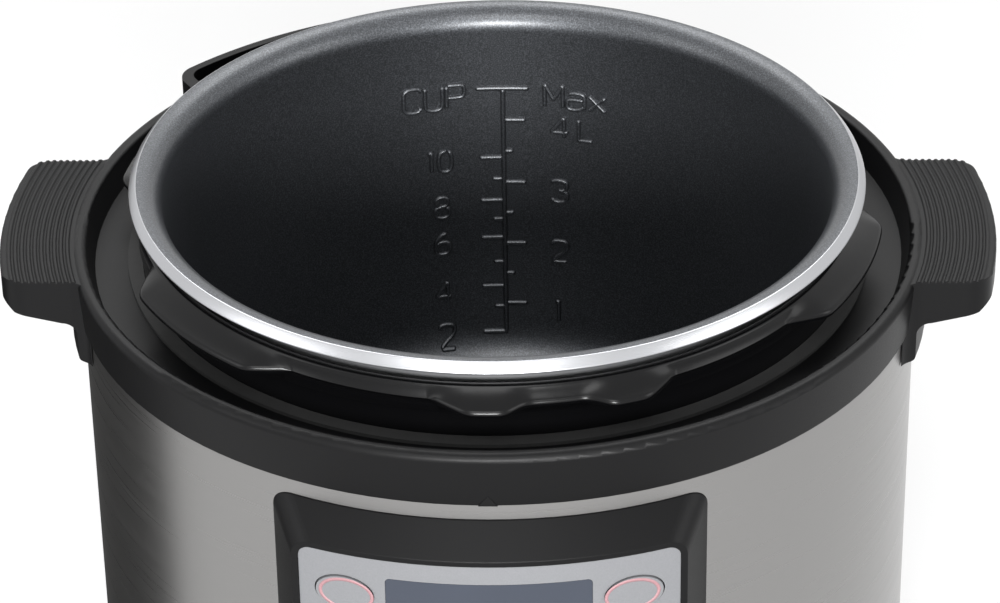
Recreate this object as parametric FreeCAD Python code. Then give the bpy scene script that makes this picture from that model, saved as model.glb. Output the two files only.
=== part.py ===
import FreeCAD, Part
import math
import os
from FreeCAD import Vector

# Electric pressure cooker standing open, with its inner pot in place and no lid on.
# Millimetres, +Z up, front towards -Y. The origin is on the table under the pot's axis.
# An azimuth is counted in degrees from the front, growing towards +X.

os.makedirs("parts", exist_ok=True)

# Clearances
FIT = 0.1             # curved faces of fixed pieces that seat on each other
EASE = 0.3            # fixed pieces that are pushed in or slid over by hand
RUN = 0.4             # round a piece that slides

# Inner pot
POT_BORE_R = 111.0
POT_WALL = 2.0
POT_DEPTH = 149.0     # from the rim down to the inside of the base
POT_CORNER_R = 22.0
LIP_ROLL_R = 8.0      # roll of the wall into the rim
LIP_FLAT = 0.5
BEVEL_W = 2.4         # bare bevel round the rim
BEVEL_H = 2.86
LIP_HOOK = 1.0        # how far the rim's edge is curled under

# Stack of heights from the table up to the pot
FOOT_H = 6.0
TRAY_FLOOR = 3.0
BAY_H = 63.0          # room for the electrics under the vessel
VESSEL_WALL = 2.0
RIB_H = 8.0           # rib of the heating plate that holds the element
PLATE_T = 12.0

# Outer vessel and locking ring
VESSEL_GAP = 3.5      # between pot and vessel
VESSEL_CORNER_R = 10.0
RING_DROP = 9.0       # from the pot's rim down to the ring
RING_H = 10.0
RING_WALL = 3.0
LUG_COUNT = 6
LUG_REACH = 8.5
LUG_ANGLE = 26.0
LUG_RAMP = 7.0        # degrees of each slanted lug end
LUG_PHASE = 10.0
LUG_T = 3.4
LUG_FALL = 2.6        # slope of the lug's top from ring to edge
LUG_EDGE_R = 1.0
DIP_ANGLE = 9.0       # notch in the front lug
DIP_RAMP = 3.0
DIP_DEPTH = 5.5
SEAL_W = 2.4
SEAL_LIP_W = 2.5
SEAL_LIP_T = 1.2

# Top cover with the handles
COVER_DROP = 20.0     # from the pot's rim down to the cover's top
COVER_BAND_H = 18.5
COVER_BAND_T = 2.3
COVER_BAND_TAPER = 1.1
COVER_RIM_W = 5.0
COVER_INNER_ROUND = 1.5
COVER_OUTER_ROUND = 2.5
CHANNEL_W = 9.0       # lid channel, from the lugs to the cover's inner wall
CHANNEL_DEPTH = 9.0
CHANNEL_DRAFT = 2.5
LEDGE_T = 2.5
SHELL_GROOVE = 7.0    # how far the shell goes up into the cover
MARK_W = 6.0          # moulded pointer under the front of the band
MARK_H = 3.5
MARK_T = 1.0
HANDLE_REACH = 23.5
HANDLE_HALF_W = 40.0
HANDLE_CORNER_R = 9.0
HANDLE_ROOT_R = 8.0
HANDLE_TIP_T = 12.4
HANDLE_ROOT_T = 16.0
HANDLE_BEVEL = 3.0
HANDLE_FILLET_R = 4.5
HANDLE_WALL = 2.5
HANDLE_TAB_H = 30.4   # tab that runs down outside the shell
HANDLE_TAB_T = 3.6
RIB_COUNT = 10
RIB_PITCH = 2.15
RIB_W = 1.6
RIB_CREST = 0.7
RIB_RISE = 0.5
RIB_MARGIN = 3.0
UNDERCOVER_T = 2.0
HANDLE_SCREW_Y = 22.0

# Steel shell and base tray
SHELL_T = 0.8
TRAY_RIM_H = 24.0
TRAY_LIP_H = 8.0
TRAY_WALL = 2.5
TRAY_PROUD = 1.6      # how far the tray stands out past the shell
TRAY_FOOT_R = 6.0
TRAY_TAPER = 3.0
FOOT_R = 9.0
FOOT_STEM_R = 3.8
FOOT_HEAD_R = 5.2
FOOT_HEAD_H = 1.6
FOOT_CIRCLE_R = 105.0
FOOT_TAPER = 1.2
VENT_W = 4.0
VENT_IN_R = 75.0
VENT_OUT_R = 115.0
VENT_STEP = 10.0
VENT_COUNT = 7

# Brackets and tie rods
CORNER_AZIMUTHS = (45.0, 135.0, 225.0, 315.0)
BRACKET_W = 20.0
BRACKET_T = 2.0
BRACKET_H = 24.0
ROD_R = 2.5
ROD_HEAD_R = 4.5
ROD_HEAD_H = 2.6
WELD_NUT_R = 5.0
WELD_NUT_H = 6.0
BOSS_R = 6.4
BOSS_H = 26.0

# Heating plate, element and sensor
PLATE_R = 98.0
PLATE_EDGE_R = 2.0
ELEMENT_CIRCLE_R = 70.0
ELEMENT_R = 4.0
ELEMENT_GAP_ANGLE = 30.0
ELEMENT_LEG_R = 3.2
ELEMENT_LEG_H = 22.0
TAB_W = 6.3
TAB_T = 1.0
TAB_H = 8.0
RIB_WALL = 5.6
STUD_R = 3.0
STUD_CIRCLE_R = 45.0
STUD_AZIMUTHS = (60.0, 180.0, 300.0)
NUT_R = 5.5
NUT_H = 5.0
STUD_END = 2.0
SENSOR_R = 17.5
SENSOR_WALL = 1.5
SENSOR_H = 17.5
SENSOR_FLANGE_W = 2.5
SENSOR_FLANGE_T = 1.5
SENSOR_TRAVEL = 3.0
GUIDE_WALL = 2.0
GUIDE_H = 24.0
GUIDE_FLANGE_W = 5.5
GUIDE_HOLE_R = 4.0
VESSEL_HOLE_R = 30.0
SPRING_R = 10.0
SPRING_WIRE_R = 0.6
SPRING_TURNS = 6

# Switch and fuse under the vessel
SWITCH_X = 62.0
SWITCH_W = 26.0
SWITCH_D = 14.0
SWITCH_H = 18.0
SWITCH_EAR_W = 8.0
SWITCH_EAR_T = 3.0
FUSE_X = -62.0
FUSE_R = 3.0
FUSE_L = 22.0
FUSE_STRAP_W = 8.0
FUSE_STRAP_T = 1.0

# Power board
BOARD_W = 110.0
BOARD_D = 90.0
BOARD_T = 1.6
BOARD_Y = 5.0
BOARD_INSET = 6.0
POST_R = 4.0
POST_H = 8.0
BLOCK_W = 52.0
BLOCK_D = 12.0
BLOCK_H = 14.0
BLOCK_MARGIN = 4.0
TRANSFORMER_SIZE = (40.0, 34.0, 28.0)
TRANSFORMER_X = -28.0
RELAY_SIZE = (28.0, 13.0, 16.0)
RELAY_X = 30.0
CAPACITOR_R = 6.0
CAPACITOR_H = 20.0
CAPACITOR_XS = (16.0, 32.0)
PARTS_Y = -2.0
CAPACITOR_Y = 20.0
SCREW_R = 1.4
SCREW_HEAD_R = 2.8
SCREW_HEAD_H = 1.8
SCREW_GRIP = 6.0      # length of a small screw in its boss

# Control panel
PANEL_PROUD = 10.9
BEZEL_HALF_W = 67.8   # at the shell
BEZEL_FACE_HALF_W = 61.5
BEZEL_DROP = 6.2      # from the cover's band down to the bezel
BEZEL_H = 128.0
BEZEL_SLOPE_H = 8.6
BEZEL_CORNER_R = 9.0
BEZEL_WALL = 2.5
BEZEL_FACE_T = 2.4
WINDOW_MARGIN = 9.8   # from the bezel's edge to the shell's opening
WINDOW_CORNER_R = 6.0
OVERLAY_MARGIN = 10.5
OVERLAY_HALF_W = 59.3
OVERLAY_CORNER_R = 4.0
OVERLAY_T = 0.6
OVERLAY_SUNK = 0.3
DISPLAY_W = 64.0
DISPLAY_H = 58.0
DISPLAY_DROP = 6.8
DISPLAY_CORNER_R = 1.5
DISPLAY_RIM = 3.0
MODULE_RIM = 2.0
KEY_W = 18.0
KEY_H = 12.5
KEY_X = 45.0
KEY_DROP = 14.6       # from the overlay's top to the first row
KEY_FOOT = 20.4       # from the last row to the overlay's bottom
KEY_ROWS = 4
KEY_PROUD = 0.6
KEY_FLANGE_W = 1.2
KEY_FLANGE_T = 1.2
KEY_STEM_R = 2.2
KEY_TRAVEL = 0.8
START_W = 30.0
START_H = 14.0
SWITCH_SIZE = 6.0
SWITCH_BODY_H = 3.5
SWITCH_PLUNGER_R = 1.7
SWITCH_PLUNGER_H = 1.0
CONTROL_HALF_W = 54.0
CONTROL_MARGIN = 14.0
CONTROL_SETBACK = 7.9  # board's front face behind the shell's radius
CONTROL_POST_X = 49.0
CONTROL_POST_R = 3.0
SOCKET_W = 24.0
SOCKET_D = 6.0
SOCKET_H = 5.0
PANEL_SCREW_X = 62.0
PANEL_SCREW_INSET = 24.0
PANEL_BOSS_R = 3.0
PANEL_BOSS_L = 9.0

# Mains inlet
INLET_RISE = 22.0     # centre above the tray's rim
INLET_W = 54.0
INLET_H = 36.0
INLET_CORNER_R = 6.0
INLET_EDGE_R = 2.0
INLET_BODY_W = 27.6
INLET_BODY_H = 20.0
INLET_BODY_R = 2.0
INLET_BODY_L = 28.0
INLET_SUNK = 1.2
INLET_CUP_W = 24.5
INLET_CUP_H = 16.6
INLET_CUP_DEPTH = 16.0
INLET_CHAMFER = 4.0
INLET_FLANGE_W = 50.0
INLET_FLANGE_H = 26.0
INLET_FLANGE_T = 2.0
INLET_SCREW_X = 20.0
PIN_W = 2.0
PIN_H = 4.0
PIN_SPACING = 7.0
PIN_RISE = 2.0
PIN_TAIL = 8.0
PIN_SHORT = 2.0

# Condensate cup behind the left of the pot
CUP_AZIMUTH = -147.0
CUP_HALF_W = 43.0
CUP_PROUD = 12.5      # outer wall, out from the cover's band
CUP_GAP = 0.9         # between cover and cup
CUP_DROP = 52.0       # depth of the cup below the cover's top
CUP_WALL = 2.0
CUP_RIM = 3.0
CUP_END = 4.5
CUP_CORNER_R = 9.0
CUP_FLOOR = 2.5
RAIL_W = 14.0
RAIL_NECK_W = 8.0
RAIL_HEAD_H = 2.5
RAIL_NECK_H = 2.5
SHELF_T = 3.0
SHELF_HALF_W = 16.0
SHELF_REACH = 8.0
CUP_PLATE_T = 2.5
CUP_PLATE_HALF_W = 22.0
CUP_PLATE_LOW = 18.0
CUP_PLATE_HIGH = 24.0
CUP_SCREW_X = 14.0
CUP_SCREW_LOW = 9.0

# Inner wiring
LEAD_R = 1.4
RIBBON_W = 20.0
RIBBON_T = 1.0
RIBBON_BEND_R = 20.0
RIBBON_RISE = 8.0
BEND_SHARE = 0.45     # of the shorter run beside a lead's bend

# Radii worked out from the pot outwards
ORIGIN = Vector(0, 0, 0)
UP = Vector(0, 0, 1)
BACK = Vector(0, 1, 0)
pot_r = POT_BORE_R + POT_WALL
vessel_in = pot_r + VESSEL_GAP
vessel_r = vessel_in + VESSEL_WALL
ring_r = vessel_in + RING_WALL
lug_r = ring_r + LUG_REACH
channel_r = lug_r + CHANNEL_W
cover_r = channel_r + COVER_RIM_W
band_in = cover_r - COVER_BAND_T
shell_r = band_in - EASE
shell_in = shell_r - SHELL_T
ledge_in = vessel_r + FIT + SEAL_W
handle_r = cover_r + HANDLE_REACH
bezel_r = shell_r + PANEL_PROUD
overlay_r = bezel_r - OVERLAY_SUNK
pocket_r = overlay_r - OVERLAY_T
face_in = pocket_r - BEZEL_FACE_T
key_r = overlay_r + KEY_PROUD
rod_circle_r = (vessel_r + shell_in) / 2

# Heights worked out from the table upwards
tray_floor = FOOT_H + TRAY_FLOOR
tray_rim = FOOT_H + TRAY_RIM_H
vessel_z = tray_floor + BAY_H
vessel_floor = vessel_z + VESSEL_WALL
plate_z = vessel_floor + RIB_H
plate_top = plate_z + PLATE_T
pot_floor = plate_top + POT_WALL
rim_z = pot_floor + POT_DEPTH
ring_top = rim_z - RING_DROP
ring_z = ring_top - RING_H
cover_top = rim_z - COVER_DROP
cover_z = cover_top - COVER_BAND_H
channel_z = cover_top - CHANNEL_DEPTH
ledge_z = channel_z - LEDGE_T
shell_top = cover_top - SHELL_GROOVE - EASE
bezel_top = cover_z - BEZEL_DROP
bezel_z = bezel_top - BEZEL_H
bezel_mid = bezel_top - BEZEL_H / 2
overlay_h = BEZEL_H - 2 * OVERLAY_MARGIN
overlay_top = bezel_top - OVERLAY_MARGIN
display_mid = overlay_top - DISPLAY_DROP - DISPLAY_H / 2
key_pitch = (overlay_h - KEY_DROP - KEY_FOOT) / (KEY_ROWS - 1)
key_rows = [overlay_top - KEY_DROP - key_pitch * row for row in range(KEY_ROWS)]
inlet_z = tray_rim + INLET_RISE
board_z = tray_floor + POST_H
board_top = board_z + BOARD_T
cup_z = cover_top - CUP_DROP


# Shapes that several pieces are made from

def wire(points, place):
    """Closed wire through 2-D points; a point written (via, end) is reached by an arc through via."""
    ends = [p[1] if isinstance(p[0], tuple) else p for p in points]
    edges = []
    for i, p in enumerate(points):
        start = place(*ends[i - 1])
        if isinstance(p[0], tuple):
            edges.append(Part.Arc(start, place(*p[0]), place(*p[1])).toShape())
        else:
            edges.append(Part.LineSegment(start, place(*p)).toShape())
    return Part.Wire(edges)


def outward(shape):
    """The shape with its faces turned outwards."""
    if shape.Volume < 0:
        shape.reverse()
    return shape


def turned(points, az0=0.0, az1=360.0):
    """Solid turned about Z from an (r, z) outline, between two azimuths."""
    face = Part.Face(wire(points, lambda r, z: Vector(r, 0, z)))
    face.rotate(ORIGIN, UP, az0 - 90)
    return outward(face.revolve(ORIGIN, UP, az1 - az0))


def upright(points, z0, z1):
    """Prism of an (x, y) outline between two heights."""
    face = Part.Face(wire(points, lambda x, y: Vector(x, y, z0)))
    return outward(face.extrude(Vector(0, 0, z1 - z0)))


def fronted(points, y0, y1):
    """Prism of an (x, z) outline between two depths."""
    face = Part.Face(wire(points, lambda x, z: Vector(x, y0, z)))
    return outward(face.extrude(Vector(0, y1 - y0, 0)))


def ring(r_in, r_out, z0, z1):
    """Plain ring between two radii and two heights."""
    return turned([(r_in, z0), (r_out, z0), (r_out, z1), (r_in, z1)])


def block(x, y, z, w, d, h):
    """Box centred on x and y, standing on z."""
    return Part.makeBox(w, d, h, Vector(x - w / 2, y - d / 2, z))


def post(x, y, z0, z1, r):
    """Upright round post."""
    return Part.makeCylinder(r, z1 - z0, Vector(x, y, z0), UP)


def peg(x, z, y0, y1, r):
    """Round peg along Y."""
    return Part.makeCylinder(r, y1 - y0, Vector(x, y0, z), BACK)


def rounded(cx, cz, w, h, r):
    """Outline of a rectangle with round corners."""
    k = r * (1 - math.sqrt(0.5))
    x0, x1 = cx - w / 2, cx + w / 2
    z0, z1 = cz - h / 2, cz + h / 2
    return [
        (x1 - r, z0), ((x1 - k, z0 + k), (x1, z0 + r)),
        (x1, z1 - r), ((x1 - k, z1 - k), (x1 - r, z1)),
        (x0 + r, z1), ((x0 + k, z1 - k), (x0, z1 - r)),
        (x0, z0 + r), ((x0 + k, z0 + k), (x0 + r, z0)),
    ]


def oval(x, z, w, h, y0, y1):
    """Elliptical prism along Y."""
    centre = Vector(x, y0, z)
    curve = Part.Ellipse(centre + Vector(w / 2, 0, 0), centre + Vector(0, 0, h / 2), centre)
    face = Part.Face(Part.Wire([curve.toShape()]))
    return outward(face.extrude(Vector(0, y1 - y0, 0)))


def round_about(shape, azimuth):
    """Copy of a shape made at the front, turned to an azimuth."""
    copy = shape.copy()
    copy.rotate(ORIGIN, UP, azimuth)
    return copy


def spot(azimuth, r):
    """x and y of a place on a circle about the pot's axis."""
    a = math.radians(azimuth)
    return r * math.sin(a), -r * math.cos(a)


def depth(r, x):
    """y of the front of a cylinder of radius r, x off its middle."""
    return -math.sqrt(r * r - x * x)


def hexagon(x, y, r, z0, z1):
    """Hexagonal nut blank."""
    corners = [spot(60 * k, r) for k in range(6)]
    return upright([(x + cx, y + cy) for cx, cy in corners], z0, z1)


def small_screw(x, y, z, length):
    """Round-headed screw standing head up, with the head seated on z."""
    return post(x, y, z, z + SCREW_HEAD_H, SCREW_HEAD_R).fuse(post(x, y, z - length, z, SCREW_R))


def panel_screw(x, z, y, length):
    """Round-headed screw along Y, head towards the back and seated on y."""
    return peg(x, z, y, y + SCREW_HEAD_H, SCREW_HEAD_R).fuse(peg(x, z, y - length, y, SCREW_R))


def lead(points):
    """Round wire along straight runs joined by tangent arcs."""
    pts = [Vector(*p) for p in points]
    edges = []
    start = pts[0]
    for a, b, c in zip(pts, pts[1:], pts[2:]):
        before = (a - b).normalize()
        after = (c - b).normalize()
        reach = BEND_SHARE * min((a - b).Length, (c - b).Length)
        half = before.getAngle(after) / 2
        middle = (before + after).normalize()
        radius = reach * math.tan(half)
        inset = reach / math.cos(half) - radius
        bend_in = b + before * reach
        bend_out = b + after * reach
        edges.append(Part.LineSegment(start, bend_in).toShape())
        edges.append(Part.Arc(bend_in, b + middle * inset, bend_out).toShape())
        start = bend_out
    edges.append(Part.LineSegment(start, pts[-1]).toShape())
    path = Part.Wire(edges)
    section = Part.Wire([Part.Circle(pts[0], pts[1] - pts[0], LEAD_R).toShape()])
    return outward(path.makePipeShell([section], True, False))


def save(name, *solids):
    """Write one node: a single solid, or a group of like solids."""
    shape = solids[0] if len(solids) == 1 else Part.makeCompound(list(solids))
    shape.exportStep("parts/%s.step" % name)
    print("%-26s %3d solid  %10.1f mm3  valid %s" % (name, len(shape.Solids), shape.Volume, shape.isValid()))


# Inner pot: drawn cup with a rolled lip and a machined bevel

corner_x = POT_BORE_R - POT_CORNER_R
corner_z = pot_floor + POT_CORNER_R
corner_out = POT_CORNER_R + POT_WALL
roll_x = POT_BORE_R + LIP_ROLL_R
roll_z = rim_z - LIP_ROLL_R
roll_under = LIP_ROLL_R - POT_WALL
lip_r = roll_x + LIP_FLAT + BEVEL_W
SLANT = math.sqrt(0.5)
inner_pot = turned([
    (0, plate_top),
    (corner_x, plate_top),
    ((corner_x + corner_out * SLANT, corner_z - corner_out * SLANT), (pot_r, corner_z)),
    (pot_r, roll_z),
    ((roll_x - roll_under * SLANT, roll_z + roll_under * SLANT), (roll_x, roll_z + roll_under)),
    (lip_r - LIP_HOOK, rim_z - BEVEL_H - LIP_HOOK / 2),
    (lip_r, rim_z - BEVEL_H),
    (roll_x + LIP_FLAT, rim_z),
    (roll_x, rim_z),
    ((roll_x - LIP_ROLL_R * SLANT, roll_z + LIP_ROLL_R * SLANT), (POT_BORE_R, roll_z)),
    (POT_BORE_R, corner_z),
    ((corner_x + POT_CORNER_R * SLANT, corner_z - POT_CORNER_R * SLANT), (corner_x, pot_floor)),
    (0, pot_floor),
])
save("inner_pot", inner_pot)


# Outer vessel: pressed cup that the pot hangs in, open under the sensor

def legs():
    """x and y of the element's two legs, at the back."""
    return [spot(180 + side * ELEMENT_GAP_ANGLE / 2, ELEMENT_CIRCLE_R) for side in (-1, 1)]


bend_x = vessel_r - VESSEL_CORNER_R
bend_z = vessel_z + VESSEL_CORNER_R
bend_in = VESSEL_CORNER_R - VESSEL_WALL
outer_vessel = turned([
    (VESSEL_HOLE_R, vessel_z),
    (bend_x, vessel_z),
    ((bend_x + VESSEL_CORNER_R * SLANT, bend_z - VESSEL_CORNER_R * SLANT), (vessel_r, bend_z)),
    (vessel_r, ring_z),
    (vessel_in, ring_z),
    (vessel_in, bend_z),
    ((bend_x + bend_in * SLANT, bend_z - bend_in * SLANT), (bend_x, vessel_floor)),
    (VESSEL_HOLE_R, vessel_floor),
])
for x, y in legs():
    outer_vessel = outer_vessel.cut(post(x, y, vessel_z - 1, vessel_floor + 1, ELEMENT_LEG_R + EASE))
for azimuth in STUD_AZIMUTHS:
    x, y = spot(azimuth, STUD_CIRCLE_R)
    outer_vessel = outer_vessel.cut(post(x, y, vessel_z - 1, vessel_floor + 1, STUD_R + EASE))
save("outer_vessel", outer_vessel)


# Locking ring: welded on the vessel, with slanted-ended lugs that hold the lid

def lug_outline():
    """Plan of the lugs: arcs at lug and ring radius joined by slanted ends, one lug notched."""
    root = ring_r - RING_WALL / 2
    stops = []
    for k in range(LUG_COUNT):
        centre = LUG_PHASE + 360.0 / LUG_COUNT * k
        half = LUG_ANGLE / 2
        stops.append((root, centre - half - LUG_RAMP))
        stops.append((lug_r, centre - half))
        if k == 0:
            notch = DIP_ANGLE / 2
            stops.append((lug_r, centre - notch - DIP_RAMP))
            stops.append((lug_r - DIP_DEPTH, centre - notch))
            stops.append((lug_r - DIP_DEPTH, centre + notch))
            stops.append((lug_r, centre + notch + DIP_RAMP))
        stops.append((lug_r, centre + half))
        stops.append((root, centre + half + LUG_RAMP))
    points = []
    for (r0, a0), (r1, a1) in zip([stops[-1]] + stops, stops):
        if r0 == r1:
            turn = (a1 - a0) % 360
            points.append((spot(a0 + turn / 2, r1), spot(a1, r1)))
        else:
            points.append(spot(a1, r1))
    return points


lug_top = ring_top - 1.0
lug_edge_z = lug_top - LUG_FALL
lug_under = lug_edge_z - LUG_T
lug_band = turned([
    (ring_r - RING_WALL / 2, lug_under),
    (lug_r, lug_under),
    (lug_r, lug_edge_z - LUG_EDGE_R),
    ((lug_r - LUG_EDGE_R * (1 - SLANT), lug_edge_z - LUG_EDGE_R * (1 - SLANT)),
     (lug_r - LUG_EDGE_R, lug_edge_z)),
    (ring_r - RING_WALL / 2, lug_top),
])
lugs = lug_band.common(upright(lug_outline(), lug_under - 1, ring_top + 1))
ring_body = turned([
    (vessel_in, ring_z),
    (ring_r, ring_z),
    (ring_r, ring_top - 1),
    ((ring_r - 1 + SLANT, ring_top - 1 + SLANT), (ring_r - 1, ring_top)),
    (vessel_in + 1, ring_top),
    ((vessel_in + 1 - SLANT, ring_top - 1 + SLANT), (vessel_in, ring_top - 1)),
])
save("locking_ring", ring_body.fuse(lugs).removeSplitter())


# Vessel seal: silicone ring that closes the gap between vessel and cover

vessel_seal = turned([
    (vessel_r + FIT, ledge_z + FIT),
    (ledge_in - FIT, ledge_z + FIT),
    (ledge_in - FIT, channel_z),
    (ledge_in + SEAL_LIP_W, channel_z),
    (ledge_in + SEAL_LIP_W, channel_z + SEAL_LIP_T),
    (vessel_r + FIT, channel_z + SEAL_LIP_T),
])
save("vessel_seal", vessel_seal)


# Top cover: channel ring, outer band and the two handles in one moulding

channel_foot = channel_r - CHANNEL_DRAFT
groove_in = shell_in - EASE
groove_z = cover_top - SHELL_GROOVE
inner_round = COVER_INNER_ROUND
outer_round = COVER_OUTER_ROUND
cover_ring = turned([
    (ledge_in, channel_z),
    (channel_foot, channel_z),
    (channel_r, cover_top - inner_round),
    ((channel_r + inner_round * (1 - SLANT), cover_top - inner_round * (1 - SLANT)),
     (channel_r + inner_round, cover_top)),
    (cover_r - outer_round, cover_top),
    ((cover_r - outer_round * (1 - SLANT), cover_top - outer_round * (1 - SLANT)),
     (cover_r, cover_top - outer_round)),
    (cover_r - COVER_BAND_TAPER, cover_z),
    (band_in, cover_z),
    (band_in, groove_z),
    (groove_in, groove_z),
    (groove_in, ledge_z),
    (ledge_in, ledge_z),
])


def handle_plan():
    """Right-hand handle from above: round outer corners, hollow fillets into the ring."""
    h = HANDLE_HALF_W
    f = HANDLE_CORNER_R
    tip_x = math.sqrt((handle_r - f) ** 2 - (h - f) ** 2)
    tip = math.atan2(h - f, tip_x)
    g = HANDLE_ROOT_R
    foot_r = cover_r - COVER_OUTER_ROUND
    root_x = math.sqrt((foot_r + g) ** 2 - (h + g) ** 2)
    root = math.atan2(h + g, root_x)
    lean = (math.pi / 2 - tip) / 2
    sink = (math.pi / 2 - root) / 2
    points = []
    for side in (-1, 1):
        foot = (foot_r * math.cos(root), side * foot_r * math.sin(root))
        hollow = (root_x - g * math.sin(sink), side * (h + g - g * math.cos(sink)))
        start = (root_x, side * h)
        corner = (tip_x + f * math.sin(lean), side * (h - f + f * math.cos(lean)))
        end = (handle_r * math.cos(tip), side * handle_r * math.sin(tip))
        if side < 0:
            points += [foot, (hollow, start), (tip_x, -h), (corner, end)]
        else:
            points += [((handle_r, 0), end), (corner, (tip_x, h)), start, (hollow, foot)]
    return points


def pocket_plan(inset):
    """Hollow inside the right-hand handle from above, pulled in from its walls by inset."""
    h = HANDLE_HALF_W - inset
    f = HANDLE_CORNER_R - inset
    r = handle_r - inset
    r_in = pocket_in + inset - HANDLE_WALL
    tip_x = math.sqrt((r - f) ** 2 - (h - f) ** 2)
    tip = math.atan2(h - f, tip_x)
    lean = (math.pi / 2 - tip) / 2
    inner_x = math.sqrt(r_in ** 2 - h ** 2)
    corner = (tip_x + f * math.sin(lean), h - f + f * math.cos(lean))
    end = (r * math.cos(tip), r * math.sin(tip))
    return [
        ((r_in, 0), (inner_x, -h)),
        (tip_x, -h),
        ((corner[0], -corner[1]), (end[0], -end[1])),
        ((r, 0), end),
        (corner, (tip_x, h)),
        (inner_x, h),
    ]


def underside(r):
    """Height of the handle's sloping underside at a radius."""
    share = (r - under_in) / (handle_r - HANDLE_BEVEL - under_in)
    return cover_top - HANDLE_ROOT_T + share * (HANDLE_ROOT_T - HANDLE_TIP_T)


tab_r = band_in + HANDLE_TAB_T
tab_z = cover_top - HANDLE_TAB_H
under_in = tab_r + HANDLE_FILLET_R
pocket_in = under_in + 1.0
tip_z = cover_top - HANDLE_TIP_T
rib_base = cover_top - RIB_RISE
handle_profile = [
    (band_in, tab_z),
    (tab_r - 1.5, tab_z),
    ((tab_r - 1.5 + 1.5 * SLANT, tab_z + 1.5 - 1.5 * SLANT), (tab_r, tab_z + 1.5)),
    (tab_r, underside(under_in) - HANDLE_FILLET_R),
    ((under_in - HANDLE_FILLET_R * SLANT, underside(under_in) - HANDLE_FILLET_R * (1 - SLANT)),
     (under_in, underside(under_in))),
    (handle_r - HANDLE_BEVEL, tip_z),
    (handle_r, tip_z + HANDLE_BEVEL),
    (handle_r, rib_base - 1),
    ((handle_r - 1 + SLANT, rib_base - 1 + SLANT), (handle_r - 1, rib_base)),
]
for k in range(RIB_COUNT):
    rib_r = handle_r - RIB_MARGIN - RIB_PITCH * k
    handle_profile.append((rib_r + RIB_W / 2, rib_base))
    handle_profile.append((rib_r + RIB_CREST / 2, rib_base + RIB_RISE))
    handle_profile.append((rib_r - RIB_CREST / 2, rib_base + RIB_RISE))
    handle_profile.append((rib_r - RIB_W / 2, rib_base))
handle_profile.append((band_in, rib_base))
handle = turned(handle_profile, 60, 120).common(upright(handle_plan(), tab_z - 1, cover_top + 1))

roof_z = rib_base - HANDLE_WALL
pocket = upright(pocket_plan(HANDLE_WALL), tab_z, roof_z)
below_pocket = turned([
    (under_in - 2, underside(under_in - 2) - 10),
    (handle_r, underside(handle_r) - 10),
    (handle_r, underside(handle_r) + UNDERCOVER_T),
    (under_in - 2, underside(under_in - 2) + UNDERCOVER_T),
], 60, 120)
undercover_band = turned([
    (under_in - 2, underside(under_in - 2)),
    (handle_r, underside(handle_r)),
    (handle_r, underside(handle_r) + UNDERCOVER_T),
    (under_in - 2, underside(under_in - 2) + UNDERCOVER_T),
], 60, 120)
undercover = undercover_band.common(upright(pocket_plan(HANDLE_WALL + EASE / 2), tab_z, roof_z))
screw_r = (pocket_in + handle_r - HANDLE_WALL) / 2
screw_z = underside(screw_r) + UNDERCOVER_T / 2
handle = handle.cut(pocket)
handle_screws = []
for y in (-HANDLE_SCREW_Y, HANDLE_SCREW_Y):
    x = math.sqrt(screw_r ** 2 - y ** 2)
    pillar = post(x, y, underside(screw_r), roof_z + HANDLE_WALL / 2, SCREW_HEAD_R + 0.6).cut(below_pocket)
    pillar = pillar.cut(post(x, y, tab_z, screw_z + SCREW_GRIP + 0.5, SCREW_R + FIT))
    handle = handle.fuse(pillar)
    undercover = undercover.cut(post(x, y, tab_z, cover_top, SCREW_R + FIT))
    undercover = undercover.cut(post(x, y, tab_z, screw_z, SCREW_HEAD_R + FIT))
    shank = post(x, y, screw_z - SCREW_HEAD_H / 2, screw_z + SCREW_GRIP, SCREW_R)
    handle_screws.append(shank.fuse(post(x, y, screw_z - SCREW_HEAD_H / 2, screw_z, SCREW_HEAD_R)))

pointer_y = depth(cover_r - COVER_BAND_TAPER, 0)
pointer = fronted([
    (-MARK_W / 2, cover_z),
    (MARK_W / 2, cover_z),
    (0, cover_z + MARK_H),
], pointer_y - MARK_T / 2, pointer_y + MARK_T)
top_cover = cover_ring.fuse([handle, round_about(handle, 180), pointer]).removeSplitter()
save("top_cover", top_cover)
save("handle_undercover_right", undercover)
save("handle_undercover_left", round_about(undercover, 180))
save("handle_screws", *handle_screws, *[round_about(s, 180) for s in handle_screws])


# Base tray: moulded floor and rim, with bosses for the rods and posts for the power board

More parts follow.
